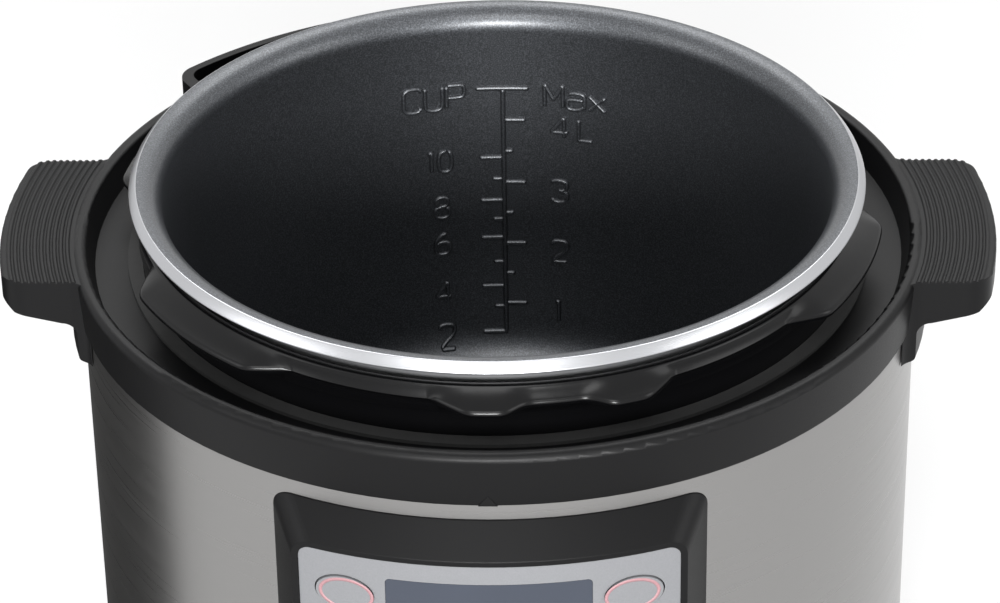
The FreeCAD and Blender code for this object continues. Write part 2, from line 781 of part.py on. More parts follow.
tray_r = shell_r + TRAY_PROUD
tray_low_r = tray_r - TRAY_TAPER
tray_in = shell_in - EASE - TRAY_WALL
base_tray = turned([
    (0, FOOT_H),
    (tray_low_r - TRAY_FOOT_R, FOOT_H),
    ((tray_low_r - TRAY_FOOT_R * (1 - SLANT), FOOT_H + TRAY_FOOT_R * (1 - SLANT)),
     (tray_low_r, FOOT_H + TRAY_FOOT_R)),
    (tray_r, tray_rim),
    (shell_in - EASE, tray_rim),
    (shell_in - EASE, tray_rim + TRAY_LIP_H),
    (tray_in, tray_rim + TRAY_LIP_H),
    (tray_in, tray_floor),
    (0, tray_floor),
])
board_corners = [
    (sx * (BOARD_W / 2 - BOARD_INSET), BOARD_Y + sy * (BOARD_D / 2 - BOARD_INSET))
    for sx in (-1, 1) for sy in (-1, 1)
]
bosses = []
bores = []
for azimuth in CORNER_AZIMUTHS:
    x, y = spot(azimuth, rod_circle_r)
    bosses.append(post(x, y, FOOT_H + 1, tray_floor + BOSS_H, BOSS_R))
    bores.append(post(x, y, FOOT_H - 1, tray_floor + BOSS_H + 1, ROD_R + EASE))
    bores.append(post(x, y, FOOT_H - 1, FOOT_H + ROD_HEAD_H + EASE, ROD_HEAD_R + EASE))
    fx, fy = spot(azimuth, FOOT_CIRCLE_R)
    bores.append(post(fx, fy, FOOT_H - 1, tray_floor + 1, FOOT_STEM_R + FIT))
for x, y in board_corners:
    bosses.append(post(x, y, FOOT_H + 1, board_z, POST_R))
    bores.append(post(x, y, board_z - SCREW_GRIP - 0.5, board_z + 1, SCREW_R + FIT))
for k in range(VENT_COUNT):
    turn = (k - (VENT_COUNT - 1) / 2) * VENT_STEP
    slot = Part.makeBox(VENT_W, VENT_OUT_R - VENT_IN_R, TRAY_FLOOR + 2,
                        Vector(-VENT_W / 2, -VENT_OUT_R, FOOT_H - 1))
    bores.append(round_about(slot, turn))
    bores.append(round_about(slot, turn + 180))
base_tray = base_tray.fuse(bosses).cut(bores).removeSplitter()
save("base_tray", base_tray)

feet = []
for azimuth in CORNER_AZIMUTHS:
    foot = turned([
        (0, 0), (FOOT_R - FOOT_TAPER, 0), (FOOT_R, FOOT_TAPER), (FOOT_R, FOOT_H),
        (FOOT_STEM_R, FOOT_H), (FOOT_STEM_R, tray_floor), (FOOT_HEAD_R, tray_floor),
        (FOOT_STEM_R, tray_floor + FOOT_HEAD_H), (0, tray_floor + FOOT_HEAD_H),
    ])
    x, y = spot(azimuth, FOOT_CIRCLE_R)
    foot.translate(Vector(x, y, 0))
    feet.append(foot)
save("rubber_feet", *feet)


# Tie rods and the brackets on the vessel that they pull down on

brackets = []
rods = []
bracket_top = ledge_z
nut_z = bracket_top - BRACKET_T - WELD_NUT_H
for azimuth in CORNER_AZIMUTHS:
    rail = turned([
        (vessel_r + FIT, bracket_top - BRACKET_H),
        (vessel_r + FIT + BRACKET_T, bracket_top - BRACKET_H),
        (vessel_r + FIT + BRACKET_T, bracket_top - BRACKET_T),
        (rod_circle_r + WELD_NUT_R, bracket_top - BRACKET_T),
        (rod_circle_r + WELD_NUT_R, bracket_top),
        (vessel_r + FIT, bracket_top),
    ], -15, 15)
    rail = rail.common(block(0, -rod_circle_r, nut_z - BRACKET_H, BRACKET_W, 60, 2 * BRACKET_H))
    bracket = rail.fuse(post(0, -rod_circle_r, nut_z, bracket_top - BRACKET_T, WELD_NUT_R))
    bracket = bracket.cut(post(0, -rod_circle_r, nut_z - 1, bracket_top + 1, ROD_R + FIT))
    brackets.append(round_about(bracket.removeSplitter(), azimuth))
    head_z = FOOT_H + EASE
    rod = post(0, -rod_circle_r, head_z, bracket_top - EASE, ROD_R)
    rod = rod.fuse(post(0, -rod_circle_r, head_z, head_z + ROD_HEAD_H, ROD_HEAD_R))
    rods.append(round_about(rod, azimuth))
save("vessel_brackets", *brackets)
save("tie_rods", *rods)


# Heating plate: cast disc with a hollow rib for the element and three studs

channel_half = ELEMENT_R + EASE
rib_in = ELEMENT_CIRCLE_R - channel_half - RIB_WALL
rib_out = ELEMENT_CIRCLE_R + channel_half + RIB_WALL
sensor_hole = SENSOR_R + RUN
heating_plate = turned([
    (sensor_hole, plate_z),
    (rib_in, plate_z),
    (rib_in, vessel_floor),
    (ELEMENT_CIRCLE_R - channel_half, vessel_floor),
    (ELEMENT_CIRCLE_R - channel_half, plate_z + EASE),
    (ELEMENT_CIRCLE_R + channel_half, plate_z + EASE),
    (ELEMENT_CIRCLE_R + channel_half, vessel_floor),
    (rib_out, vessel_floor),
    (rib_out, plate_z),
    (PLATE_R - PLATE_EDGE_R, plate_z),
    (PLATE_R, plate_z + PLATE_EDGE_R),
    (PLATE_R, plate_top - PLATE_EDGE_R),
    ((PLATE_R - PLATE_EDGE_R * (1 - SLANT), plate_top - PLATE_EDGE_R * (1 - SLANT)),
     (PLATE_R - PLATE_EDGE_R, plate_top)),
    (sensor_hole, plate_top),
])
nuts = []
for azimuth in STUD_AZIMUTHS:
    x, y = spot(azimuth, STUD_CIRCLE_R)
    heating_plate = heating_plate.fuse(post(x, y, vessel_z - NUT_H - STUD_END, plate_z + 1, STUD_R))
    nut = hexagon(x, y, NUT_R, vessel_z - NUT_H, vessel_z)
    nuts.append(nut.cut(post(x, y, vessel_z - NUT_H - 1, vessel_z + 1, STUD_R + FIT)))
save("heating_plate", heating_plate)
save("plate_nuts", *nuts)

element_z = vessel_floor + ELEMENT_R + EASE / 2
circle = Part.Circle(Vector(ELEMENT_CIRCLE_R, 0, element_z), BACK, ELEMENT_R).toShape()
bend = Part.Face(Part.Wire([circle]))
bend.rotate(ORIGIN, UP, 90 + ELEMENT_GAP_ANGLE / 2)
element = outward(bend.revolve(ORIGIN, UP, 360 - ELEMENT_GAP_ANGLE))
leg_z = element_z - ELEMENT_LEG_H
for x, y in legs():
    element = element.fuse(Part.makeSphere(ELEMENT_R, Vector(x, y, element_z)))
    element = element.fuse(post(x, y, leg_z, element_z, ELEMENT_LEG_R))
    element = element.fuse(block(x, y, leg_z - TAB_H, TAB_W, TAB_T, TAB_H + 1))
save("heating_element", element)


# Centre temperature sensor: cap that the pot presses down, its spring and its guide

cap_z = plate_top - SENSOR_H
flange_r = SENSOR_R + SENSOR_FLANGE_W
sensor_cap = turned([
    (SENSOR_R - SENSOR_WALL, cap_z),
    (flange_r, cap_z),
    (flange_r, cap_z + SENSOR_FLANGE_T),
    (SENSOR_R, cap_z + SENSOR_FLANGE_T),
    (SENSOR_R, plate_top),
    (0, plate_top),
    (0, plate_top - SENSOR_WALL),
    (SENSOR_R - SENSOR_WALL, plate_top - SENSOR_WALL),
])
save("sensor_cap", sensor_cap)

guide_in = flange_r + RUN
guide_out = guide_in + GUIDE_WALL
guide_z = plate_z - GUIDE_H
sensor_guide = turned([
    (GUIDE_HOLE_R, guide_z),
    (guide_out, guide_z),
    (guide_out, plate_z - GUIDE_WALL),
    (guide_out + GUIDE_FLANGE_W, plate_z - GUIDE_WALL),
    (guide_out + GUIDE_FLANGE_W, plate_z),
    (guide_in, plate_z),
    (guide_in, guide_z + GUIDE_WALL),
    (GUIDE_HOLE_R, guide_z + GUIDE_WALL),
])
save("sensor_guide", sensor_guide)

spring_low = guide_z + GUIDE_WALL + FIT + SPRING_WIRE_R
spring_high = plate_top - SENSOR_WALL - FIT - SPRING_WIRE_R
pitch = (spring_high - spring_low) / SPRING_TURNS
turns = []
for k in range(2 * SPRING_TURNS):
    side = 1 if k % 2 == 0 else -1
    z = spring_low + pitch / 2 * k
    turns.append(Part.Arc(Vector(side * SPRING_R, 0, z),
                          Vector(0, side * SPRING_R, z + pitch / 4),
                          Vector(-side * SPRING_R, 0, z + pitch / 2)).toShape())
coil = Part.Wire(turns)
start = Part.Circle(Vector(SPRING_R, 0, spring_low), BACK, SPRING_WIRE_R).toShape()
sensor_spring = outward(coil.makePipeShell([Part.Wire([start])], True, False))
save("sensor_spring", sensor_spring)
print("spring gap between turns %.2f mm" % (pitch - 2 * SPRING_WIRE_R))


# Pressure switch and thermal fuse, both hung under the vessel

pressure_switch = block(SWITCH_X, 0, vessel_z - SWITCH_H, SWITCH_W, SWITCH_D, SWITCH_H)
for side in (-1, 1):
    ear_y = side * (SWITCH_D + SWITCH_EAR_W) / 2
    ear = block(SWITCH_X, ear_y, vessel_z - SWITCH_EAR_T, SWITCH_D, SWITCH_EAR_W, SWITCH_EAR_T)
    pressure_switch = pressure_switch.fuse(ear)
save("pressure_switch", pressure_switch.removeSplitter())

fuse_z = vessel_z - FUSE_R - FUSE_STRAP_T
thermal_fuse = peg(FUSE_X, fuse_z, -FUSE_L / 2, FUSE_L / 2, FUSE_R)
strap = block(FUSE_X, 0, fuse_z - FUSE_R, 6 * FUSE_R, FUSE_STRAP_W, 2 * FUSE_R + FUSE_STRAP_T)
thermal_fuse = thermal_fuse.fuse(strap)
save("thermal_fuse", thermal_fuse.removeSplitter())


# Power board on its posts, with the parts soldered to it

power_board = block(0, BOARD_Y, board_z, BOARD_W, BOARD_D, BOARD_T)
board_screws = []
for x, y in board_corners:
    power_board = power_board.cut(post(x, y, board_z - 1, board_top + 1, SCREW_R + FIT))
    board_screws.append(small_screw(x, y, board_top, BOARD_T + SCREW_GRIP))
save("power_board", power_board)

block_y = BOARD_Y + BOARD_D / 2 - BLOCK_D / 2 - BLOCK_MARGIN
save("terminal_block", block(0, block_y, board_top, BLOCK_W, BLOCK_D, BLOCK_H))
transformer = block(TRANSFORMER_X, PARTS_Y, board_top, *TRANSFORMER_SIZE)
winding = block(TRANSFORMER_X, PARTS_Y, board_top + TRANSFORMER_SIZE[2] / 6,
                TRANSFORMER_SIZE[0] * 0.62, TRANSFORMER_SIZE[1] * 1.2, TRANSFORMER_SIZE[2] * 2 / 3)
save("transformer", transformer.fuse(winding).removeSplitter())
save("relay", block(RELAY_X, PARTS_Y - RELAY_SIZE[1], board_top, *RELAY_SIZE))
capacitors = [post(x, CAPACITOR_Y, board_top, board_top + CAPACITOR_H, CAPACITOR_R) for x in CAPACITOR_XS]
save("capacitors", *capacitors)


# Control panel: bezel, overlay, display, keys and the board behind them

def bezel_block(wall, root_r, face_r, corner_r):
    """Bezel's outer form drawn in by a wall: coned top and bottom, slanted sides, round corners."""
    slope = BEZEL_SLOPE_H / (bezel_r - shell_r)
    drop = wall * math.sqrt(1 + slope ** 2)
    root_fall = (root_r - shell_r) * slope + drop
    fall = (face_r - shell_r) * slope + drop
    form = turned([
        (root_r, bezel_z + root_fall),
        (face_r, bezel_z + fall),
        (face_r, bezel_top - fall),
        (root_r, bezel_top - root_fall),
    ], -40, 40)
    x0, y0 = BEZEL_HALF_W, depth(shell_r, BEZEL_HALF_W)
    x1, y1 = BEZEL_FACE_HALF_W, depth(bezel_r, BEZEL_FACE_HALF_W)
    lean = (x1 - x0) / (y1 - y0)
    shift = wall * math.sqrt(1 + lean ** 2)
    back, front = y0 + 15, y1 - 30
    wide = x0 + (back - y0) * lean - shift
    narrow = x0 + (front - y0) * lean - shift
    sides = upright([(-wide, back), (-narrow, front), (narrow, front), (wide, back)],
                    bezel_z - 1, bezel_top + 1)
    form = form.common(sides)
    corners = []
    for edge in form.Edges:
        ends = [math.hypot(v.X, v.Y) for v in edge.Vertexes]
        if abs(ends[0] - ends[-1]) > FIT:
            corners.append(edge)
    return form.makeFillet(corner_r, corners)


control_y = -(shell_r - CONTROL_SETBACK)
key_places = [(side * KEY_X, z, KEY_W, KEY_H) for side in (-1, 1) for z in key_rows]
key_places.append((0, key_rows[-1], START_W, START_H))
post_rows = [(key_rows[0] + key_rows[1]) / 2, (key_rows[-2] + key_rows[-1]) / 2]
post_spots = [(side * CONTROL_POST_X, z) for side in (-1, 1) for z in post_rows]
boss_spots = [(side * PANEL_SCREW_X, bezel_mid + sz * (BEZEL_H / 2 - PANEL_SCREW_INSET))
              for side in (-1, 1) for sz in (-1, 1)]
front_y = -bezel_r - 5

bezel_form = bezel_block(0, shell_r + FIT, bezel_r, BEZEL_CORNER_R)
panel_bezel = bezel_form.cut(bezel_block(BEZEL_WALL, shell_r - 2, face_in, BEZEL_CORNER_R - BEZEL_WALL))
fittings = []
holes = []
for x, z in post_spots:
    end_y = depth((face_in + pocket_r) / 2, abs(x))
    fittings.append(peg(x, z, end_y, control_y, CONTROL_POST_R))
    holes.append(peg(x, z, control_y - SCREW_GRIP, control_y + 1, SCREW_R + FIT))
for x, z in boss_spots:
    seat_y = depth(shell_r, PANEL_SCREW_X)
    fittings.append(peg(x, z, seat_y - PANEL_BOSS_L, seat_y + 10, PANEL_BOSS_R).common(bezel_form))
    holes.append(peg(x, z, seat_y - SCREW_GRIP, seat_y + 20, SCREW_R + FIT))
overlay_outline = rounded(0, overlay_top - overlay_h / 2, 2 * OVERLAY_HALF_W, overlay_h, OVERLAY_CORNER_R)
recess = rounded(0, overlay_top - overlay_h / 2, 2 * OVERLAY_HALF_W + 2 * FIT, overlay_h + 2 * FIT,
                 OVERLAY_CORNER_R + FIT)
display_hole = rounded(0, display_mid, DISPLAY_W - 2 * DISPLAY_RIM, DISPLAY_H - 2 * DISPLAY_RIM,
                       DISPLAY_CORNER_R)
skin = ring(pocket_r - FIT, bezel_r + 5, bezel_z - 5, bezel_top + 5)
holes.append(fronted(recess, front_y, control_y).common(skin))
holes.append(fronted(display_hole, front_y, control_y))
for x, z, w, h in key_places:
    holes.append(oval(x, z, w + 2 * RUN, h + 2 * RUN, front_y, depth(face_in, abs(x) + w / 2) + 1))
panel_bezel = panel_bezel.fuse(fittings)
panel_bezel = panel_bezel.cut(holes)
save("panel_bezel", panel_bezel)

sheet = ring(pocket_r, overlay_r, bezel_z, bezel_top)
pane_outline = rounded(0, display_mid, DISPLAY_W, DISPLAY_H, DISPLAY_CORNER_R)
pane_hole = rounded(0, display_mid, DISPLAY_W + 2 * FIT, DISPLAY_H + 2 * FIT, DISPLAY_CORNER_R + FIT)
panel_overlay = sheet.common(fronted(overlay_outline, front_y, control_y))
panel_overlay = panel_overlay.cut(fronted(pane_hole, front_y, control_y))
for x, z, w, h in key_places:
    panel_overlay = panel_overlay.cut(oval(x, z, w + 2 * RUN, h + 2 * RUN, front_y, control_y))
save("panel_overlay", panel_overlay)
save("display_window", sheet.common(fronted(pane_outline, front_y, control_y)))

control_top = bezel_top - CONTROL_MARGIN
control_h = BEZEL_H - 2 * CONTROL_MARGIN
control_board = Part.makeBox(2 * CONTROL_HALF_W, BOARD_T, control_h,
                             Vector(-CONTROL_HALF_W, control_y, control_top - control_h))
for x, z in post_spots:
    control_board = control_board.cut(peg(x, z, control_y - 1, control_y + BOARD_T + 1, SCREW_R + FIT))
    board_screws.append(panel_screw(x, z, control_y + BOARD_T, BOARD_T + SCREW_GRIP - 1))
save("control_board", control_board)
save("board_screws", *board_screws)

module_half = DISPLAY_W / 2 - MODULE_RIM
module_y = depth(face_in, module_half) + EASE
module_h = DISPLAY_H - 2 * MODULE_RIM
save("display_module", Part.makeBox(2 * module_half, control_y - module_y, module_h,
                                    Vector(-module_half, module_y, display_mid - module_h / 2)))

switch_y = control_y - SWITCH_BODY_H
plunger_y = switch_y - SWITCH_PLUNGER_H
stem_y = plunger_y - KEY_TRAVEL - FIT
key_shell = ring(face_in - EASE - KEY_FLANGE_T, key_r, bezel_z, bezel_top)
flange_shell = ring(face_in - EASE - KEY_FLANGE_T, face_in - EASE, bezel_z, bezel_top)
key_names = ["key_%s_%d" % (side, row + 1) for side in ("left", "right") for row in range(KEY_ROWS)]
key_names.append("start_key")
key_switches = []
for name, (x, z, w, h) in zip(key_names, key_places):
    body = block(x, switch_y + SWITCH_BODY_H / 2, z - SWITCH_SIZE / 2, SWITCH_SIZE, SWITCH_BODY_H, SWITCH_SIZE)
    key_switches.append(body.fuse(peg(x, z, plunger_y, switch_y, SWITCH_PLUNGER_R)))
    cap = oval(x, z, w, h, front_y, stem_y).common(key_shell)
    collar = oval(x, z, w + 2 * KEY_FLANGE_W, h + 2 * KEY_FLANGE_W, front_y, stem_y).common(flange_shell)
    stem = peg(x, z, depth(face_in, abs(x)), stem_y, KEY_STEM_R)
    save(name, cap.fuse([collar, stem]).removeSplitter())
save("key_switches", *key_switches)

panel_screws = []
for x, z in boss_spots:
    head_y = depth(shell_in, PANEL_SCREW_X + SCREW_HEAD_R) + EASE
    seat_y = depth(shell_r, PANEL_SCREW_X)
    panel_screws.append(panel_screw(x, z, head_y, head_y - seat_y + SCREW_GRIP - 1))
save("panel_screws", *panel_screws)

socket_z = control_top - control_h + SOCKET_H
board_socket_y = BOARD_Y - BOARD_D / 2 + SOCKET_D
cable_sockets = [
    block(0, control_y + BOARD_T + SOCKET_D / 2, socket_z, SOCKET_W, SOCKET_D, SOCKET_H),
    block(0, board_socket_y, board_top, SOCKET_W, SOCKET_D, SOCKET_H),
]
save("cable_sockets", *cable_sockets)


# Mains inlet at the back: housing on the shell, socket, pins and screws

inlet_face = key_r
inlet_housing = fronted(rounded(0, inlet_z, INLET_W, INLET_H, INLET_CORNER_R), shell_in - 10, inlet_face)
rim_edges = [e for e in inlet_housing.Edges if e.BoundBox.YMin > inlet_face - 0.01]
inlet_housing = inlet_housing.makeFillet(INLET_EDGE_R, rim_edges)
inlet_housing = inlet_housing.cut(post(0, 0, tray_rim - 10, bezel_top, shell_r + FIT))
body_hole = rounded(0, inlet_z, INLET_BODY_W + 2 * EASE, INLET_BODY_H + 2 * EASE, INLET_BODY_R + EASE)
inlet_housing = inlet_housing.cut(fronted(body_hole, shell_in - 20, inlet_face + 1))
socket_face = inlet_face - INLET_SUNK
flange_face = math.sqrt(shell_in ** 2 - (INLET_FLANGE_W / 2) ** 2) - EASE
inlet_socket = fronted(rounded(0, inlet_z, INLET_BODY_W, INLET_BODY_H, INLET_BODY_R),
                       socket_face - INLET_BODY_L, socket_face)
inlet_flange = fronted(rounded(0, inlet_z, INLET_FLANGE_W, INLET_FLANGE_H, INLET_BODY_R),
                       flange_face - INLET_FLANGE_T, flange_face)
half_w, half_h = INLET_CUP_W / 2, INLET_CUP_H / 2
inlet_cup = fronted([
    (-half_w, inlet_z - half_h),
    (half_w, inlet_z - half_h),
    (half_w, inlet_z + half_h - INLET_CHAMFER),
    (half_w - INLET_CHAMFER, inlet_z + half_h),
    (-half_w + INLET_CHAMFER, inlet_z + half_h),
    (-half_w, inlet_z + half_h - INLET_CHAMFER),
], socket_face - INLET_CUP_DEPTH, socket_face + 1)
inlet_socket = inlet_socket.fuse(inlet_flange).cut(inlet_cup)
pins = []
pin_back = socket_face - INLET_BODY_L - PIN_TAIL
pin_front = socket_face - PIN_SHORT
for x, rise in ((-PIN_SPACING, -PIN_RISE), (0, PIN_RISE), (PIN_SPACING, -PIN_RISE)):
    middle = (pin_back + pin_front) / 2
    low = inlet_z + rise - PIN_H / 2
    pins.append(block(x, middle, low, PIN_W, pin_front - pin_back, PIN_H))
    inlet_socket = inlet_socket.cut(block(x, middle, low - FIT, PIN_W + 2 * FIT, pin_front - pin_back,
                                          PIN_H + 2 * FIT))
inlet_screws = []
for x in (-INLET_SCREW_X, INLET_SCREW_X):
    shank_end = flange_face + 2 * SCREW_GRIP
    head_y = flange_face - INLET_FLANGE_T
    inlet_socket = inlet_socket.cut(peg(x, inlet_z, head_y - 1, flange_face + 1, SCREW_R + FIT))
    inlet_housing = inlet_housing.cut(peg(x, inlet_z, head_y, shank_end + 0.5, SCREW_R + FIT))
    shank = peg(x, inlet_z, head_y, shank_end, SCREW_R)
    inlet_screws.append(shank.fuse(peg(x, inlet_z, head_y - SCREW_HEAD_H, head_y, SCREW_HEAD_R)))
save("inlet_housing", inlet_housing)
save("inlet_socket", inlet_socket)
save("inlet_pins", *pins)
save("inlet_screws", *inlet_screws)


# Condensate cup and the bracket whose rail it slides on

cup_in = cover_r + CUP_GAP
cup_out = cover_r + CUP_PROUD


def cup_shape(r_in, r_out, half_w, corner_r, z0, z1):
    """Curved slab between two radii, with square ends and round outer corners."""
    slab = turned([(r_in, z0), (r_out, z0), (r_out, z1), (r_in, z1)], -40, 40)
    slab = slab.common(block(0, -r_out, z0 - 1, 2 * half_w, 2 * r_out, z1 - z0 + 2))
    outer = [e for e in slab.Edges
             if e.BoundBox.XLength < 0.01 and e.BoundBox.YLength < 0.01
             and e.BoundBox.YMin < depth((r_in + r_out) / 2, half_w)]
    return slab.makeFillet(corner_r, outer)


head_z = cup_z + RAIL_NECK_H
slot_top = head_z + RAIL_HEAD_H + RUN
cup = cup_shape(cup_in, cup_out, CUP_HALF_W, CUP_CORNER_R, cup_z, cover_top)
hollow = cup_shape(cup_in + CUP_WALL, cup_out - CUP_RIM, CUP_HALF_W - CUP_END, CUP_CORNER_R - CUP_RIM,
                   cup_z + CUP_FLOOR, cover_top + 1)
hump = block(0, -cup_out, cup_z, RAIL_W + 2 * RUN + 2 * CUP_WALL, 2 * cup_out, slot_top + CUP_FLOOR - cup_z)
cup = cup.cut(hollow.cut(hump))
rail_end = shell_r + FIT + CUP_PLATE_T + SHELF_REACH
slot_y = -(rail_end + RUN)
neck_slot = Part.makeBox(RAIL_NECK_W + 2 * RUN, 60, head_z - cup_z + 2 * RUN,
                         Vector(-RAIL_NECK_W / 2 - RUN, slot_y, cup_z - RUN))
head_slot = Part.makeBox(RAIL_W + 2 * RUN, 60, RAIL_HEAD_H + 2 * RUN,
                         Vector(-RAIL_W / 2 - RUN, slot_y, head_z - RUN))
cup = cup.cut([neck_slot, head_slot])
save("condensate_cup", round_about(cup.removeSplitter(), CUP_AZIMUTH))

plate_in = shell_r + FIT
plate_out = plate_in + CUP_PLATE_T
shelf_top = cup_z - RUN
backplate = turned([
    (plate_in, shelf_top - CUP_PLATE_LOW),
    (plate_out, shelf_top - CUP_PLATE_LOW),
    (plate_out, shelf_top + CUP_PLATE_HIGH),
    (plate_in, shelf_top + CUP_PLATE_HIGH),
], -20, 20).common(block(0, -plate_out, 0, 2 * CUP_PLATE_HALF_W, 60, rim_z))
reach = -rail_end
shelf = block(0, reach / 2, shelf_top - SHELF_T, 2 * SHELF_HALF_W, -reach, SHELF_T)
neck = block(0, reach / 2, shelf_top - 0.5, RAIL_NECK_W, -reach, head_z - shelf_top + 1)
head = block(0, reach / 2, head_z, RAIL_W, -reach, RAIL_HEAD_H)
inside = post(0, 0, 0, rim_z, plate_in + CUP_PLATE_T / 2)
cup_bracket = backplate.fuse([piece.cut(inside) for piece in (shelf, neck, head)]).removeSplitter()
cup_screws = []
for x in (-CUP_SCREW_X, CUP_SCREW_X):
    z = shelf_top - CUP_SCREW_LOW
    seat = depth(shell_in, abs(x) + SCREW_HEAD_R) + EASE
    tip = depth(plate_out, abs(x)) + 0.6
    cup_bracket = cup_bracket.cut(peg(x, z, tip - 0.3, seat, SCREW_R + FIT))
    cup_screws.append(panel_screw(x, z, seat, seat - tip))
save("cup_bracket", round_about(cup_bracket, CUP_AZIMUTH))
save("cup_screws", *[round_about(s, CUP_AZIMUTH) for s in cup_screws])


# Steel shell: sleeve between tray and cover, cut for the panel, the inlet and the screws

window_half = PANEL_SCREW_X - SCREW_HEAD_R - EASE
opening = rounded(0, bezel_mid, 2 * window_half, BEZEL_H - 2 * WINDOW_MARGIN, WINDOW_CORNER_R)
cuts = [
    fronted(opening, -shell_r - 10, 0),
    fronted(body_hole, 0, shell_r + 10),
]
for x in (-INLET_SCREW_X, INLET_SCREW_X):
    cuts.append(peg(x, inlet_z, shell_in - 20, shell_r + 5, SCREW_R + EASE))
for x, z in boss_spots:
    cuts.append(peg(x, z, -shell_r - 5, 0, SCREW_R + EASE))
for x in (-CUP_SCREW_X, CUP_SCREW_X):
    hole = peg(x, shelf_top - CUP_SCREW_LOW, -shell_r - 5, 0, SCREW_R + EASE)
    cuts.append(round_about(hole, CUP_AZIMUTH))
save("steel_shell", ring(shell_in, shell_r, tray_rim, shell_top).cut(cuts))


# Inner wiring: mains to the board, board to the element, board to the control panel

block_top = board_top + BLOCK_H
inlet_leads = []
for x in (-PIN_SPACING, PIN_SPACING):
    pin_z = inlet_z - PIN_RISE
    inlet_leads.append(lead([(x, pin_back, pin_z), (x, block_y, pin_z), (x, block_y, block_top)]))
save("inlet_leads", *inlet_leads)

heater_leads = []
for x, y in legs():
    entry_z = board_top + BLOCK_H / 2
    heater_leads.append(lead([(x, y, leg_z - TAB_H), (x, y, entry_z), (x, block_y + BLOCK_D / 2, entry_z)]))
save("heater_leads", *heater_leads)

drop_y = control_y + BOARD_T + SOCKET_D / 2
run_z = board_top + SOCKET_H
bend_y = drop_y + RIBBON_BEND_R
turn_z = run_z + RIBBON_BEND_R
outer_bend = RIBBON_BEND_R
inner_bend = RIBBON_BEND_R - RIBBON_T
ribbon_face = Part.Face(wire([
    (drop_y, socket_z),
    (drop_y, turn_z),
    ((bend_y - outer_bend * SLANT, turn_z - outer_bend * SLANT), (bend_y, run_z)),
    (board_socket_y, run_z),
    (board_socket_y, run_z + RIBBON_T),
    (bend_y, run_z + RIBBON_T),
    ((bend_y - inner_bend * SLANT, turn_z - inner_bend * SLANT), (drop_y + RIBBON_T, turn_z)),
    (drop_y + RIBBON_T, socket_z),
], lambda y, z: Vector(-RIBBON_W / 2, y, z)))
save("panel_cable", outward(ribbon_face.extrude(Vector(RIBBON_W, 0, 0))))
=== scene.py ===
import math

import bpy
import numpy as np
from mathutils import Matrix, Vector


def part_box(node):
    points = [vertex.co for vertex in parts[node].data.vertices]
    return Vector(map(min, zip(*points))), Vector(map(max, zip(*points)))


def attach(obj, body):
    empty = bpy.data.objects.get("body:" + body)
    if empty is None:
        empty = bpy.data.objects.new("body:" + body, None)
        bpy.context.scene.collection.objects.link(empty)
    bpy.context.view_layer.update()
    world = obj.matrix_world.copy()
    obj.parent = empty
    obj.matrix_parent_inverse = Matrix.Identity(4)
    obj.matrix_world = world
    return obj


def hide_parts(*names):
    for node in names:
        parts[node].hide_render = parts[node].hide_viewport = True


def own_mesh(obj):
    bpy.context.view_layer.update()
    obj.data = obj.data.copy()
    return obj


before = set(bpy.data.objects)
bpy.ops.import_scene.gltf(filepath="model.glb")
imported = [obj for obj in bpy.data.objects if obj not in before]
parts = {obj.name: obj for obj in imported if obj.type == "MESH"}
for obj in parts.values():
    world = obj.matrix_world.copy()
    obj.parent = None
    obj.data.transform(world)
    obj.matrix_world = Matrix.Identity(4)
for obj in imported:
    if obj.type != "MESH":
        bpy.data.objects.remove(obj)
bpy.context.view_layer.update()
scene = bpy.context.scene
scene.view_settings.view_transform = "Standard"
MM = 0.001            # shapes are worked out in millimetres, and meshes are in metres
WHITE = (1, 1, 1, 1)

# Camera: a long lens in front and a touch to the right of the middle, looking down into the pot.
# Its place, pitch, lens and slight roll come from the rim's ellipse and the marks on the pot's wall.
SENSOR_MM = 36.0
PICTURE_PX = 1000.0
FOCAL_PX = 3987.0
lens = bpy.data.cameras.new("camera")
lens.sensor_width = SENSOR_MM
lens.lens = SENSOR_MM * FOCAL_PX / PICTURE_PX
lens.clip_end = 20.0
camera = bpy.data.objects.new("camera", lens)
turn = Matrix.Rotation(math.radians(1.8), 4, "Z")
pitch = Matrix.Rotation(math.radians(90.0 - 31.8), 4, "X")
roll = Matrix.Rotation(math.radians(-0.97), 4, "Z")
camera.matrix_world = Matrix.Translation((0.0363, -1.1444, 0.9025)) @ turn @ pitch @ roll
scene.collection.objects.link(camera)
scene.camera = camera


# Studio: white surroundings for what the camera and shiny surfaces see, a plain level of soft light on
# the object, and a pale floor that keeps its shadow. A dark card, seen only in reflections, lies on the
# floor at the left and back.
def put(tree, kind, inputs=None, **settings):
    """Add one node: settings are its own properties, inputs are values or sockets by input name."""
    item = tree.nodes.new(kind)
    for name, value in settings.items():
        setattr(item, name, value)
    for name, value in (inputs or {}).items():
        if isinstance(value, bpy.types.NodeSocket):
            tree.links.new(value, item.inputs[name])
        else:
            item.inputs[name].default_value = value
    return item


def linear(code):
    """sRGB hex to linear RGBA: c/12.92 below 0.04045, otherwise ((c + 0.055)/1.055)^2.4."""
    values = [int(code[i:i + 2], 16) / 255.0 for i in (1, 3, 5)]
    return [v / 12.92 if v < 0.04045 else ((v + 0.055) / 1.055) ** 2.4 for v in values] + [1.0]


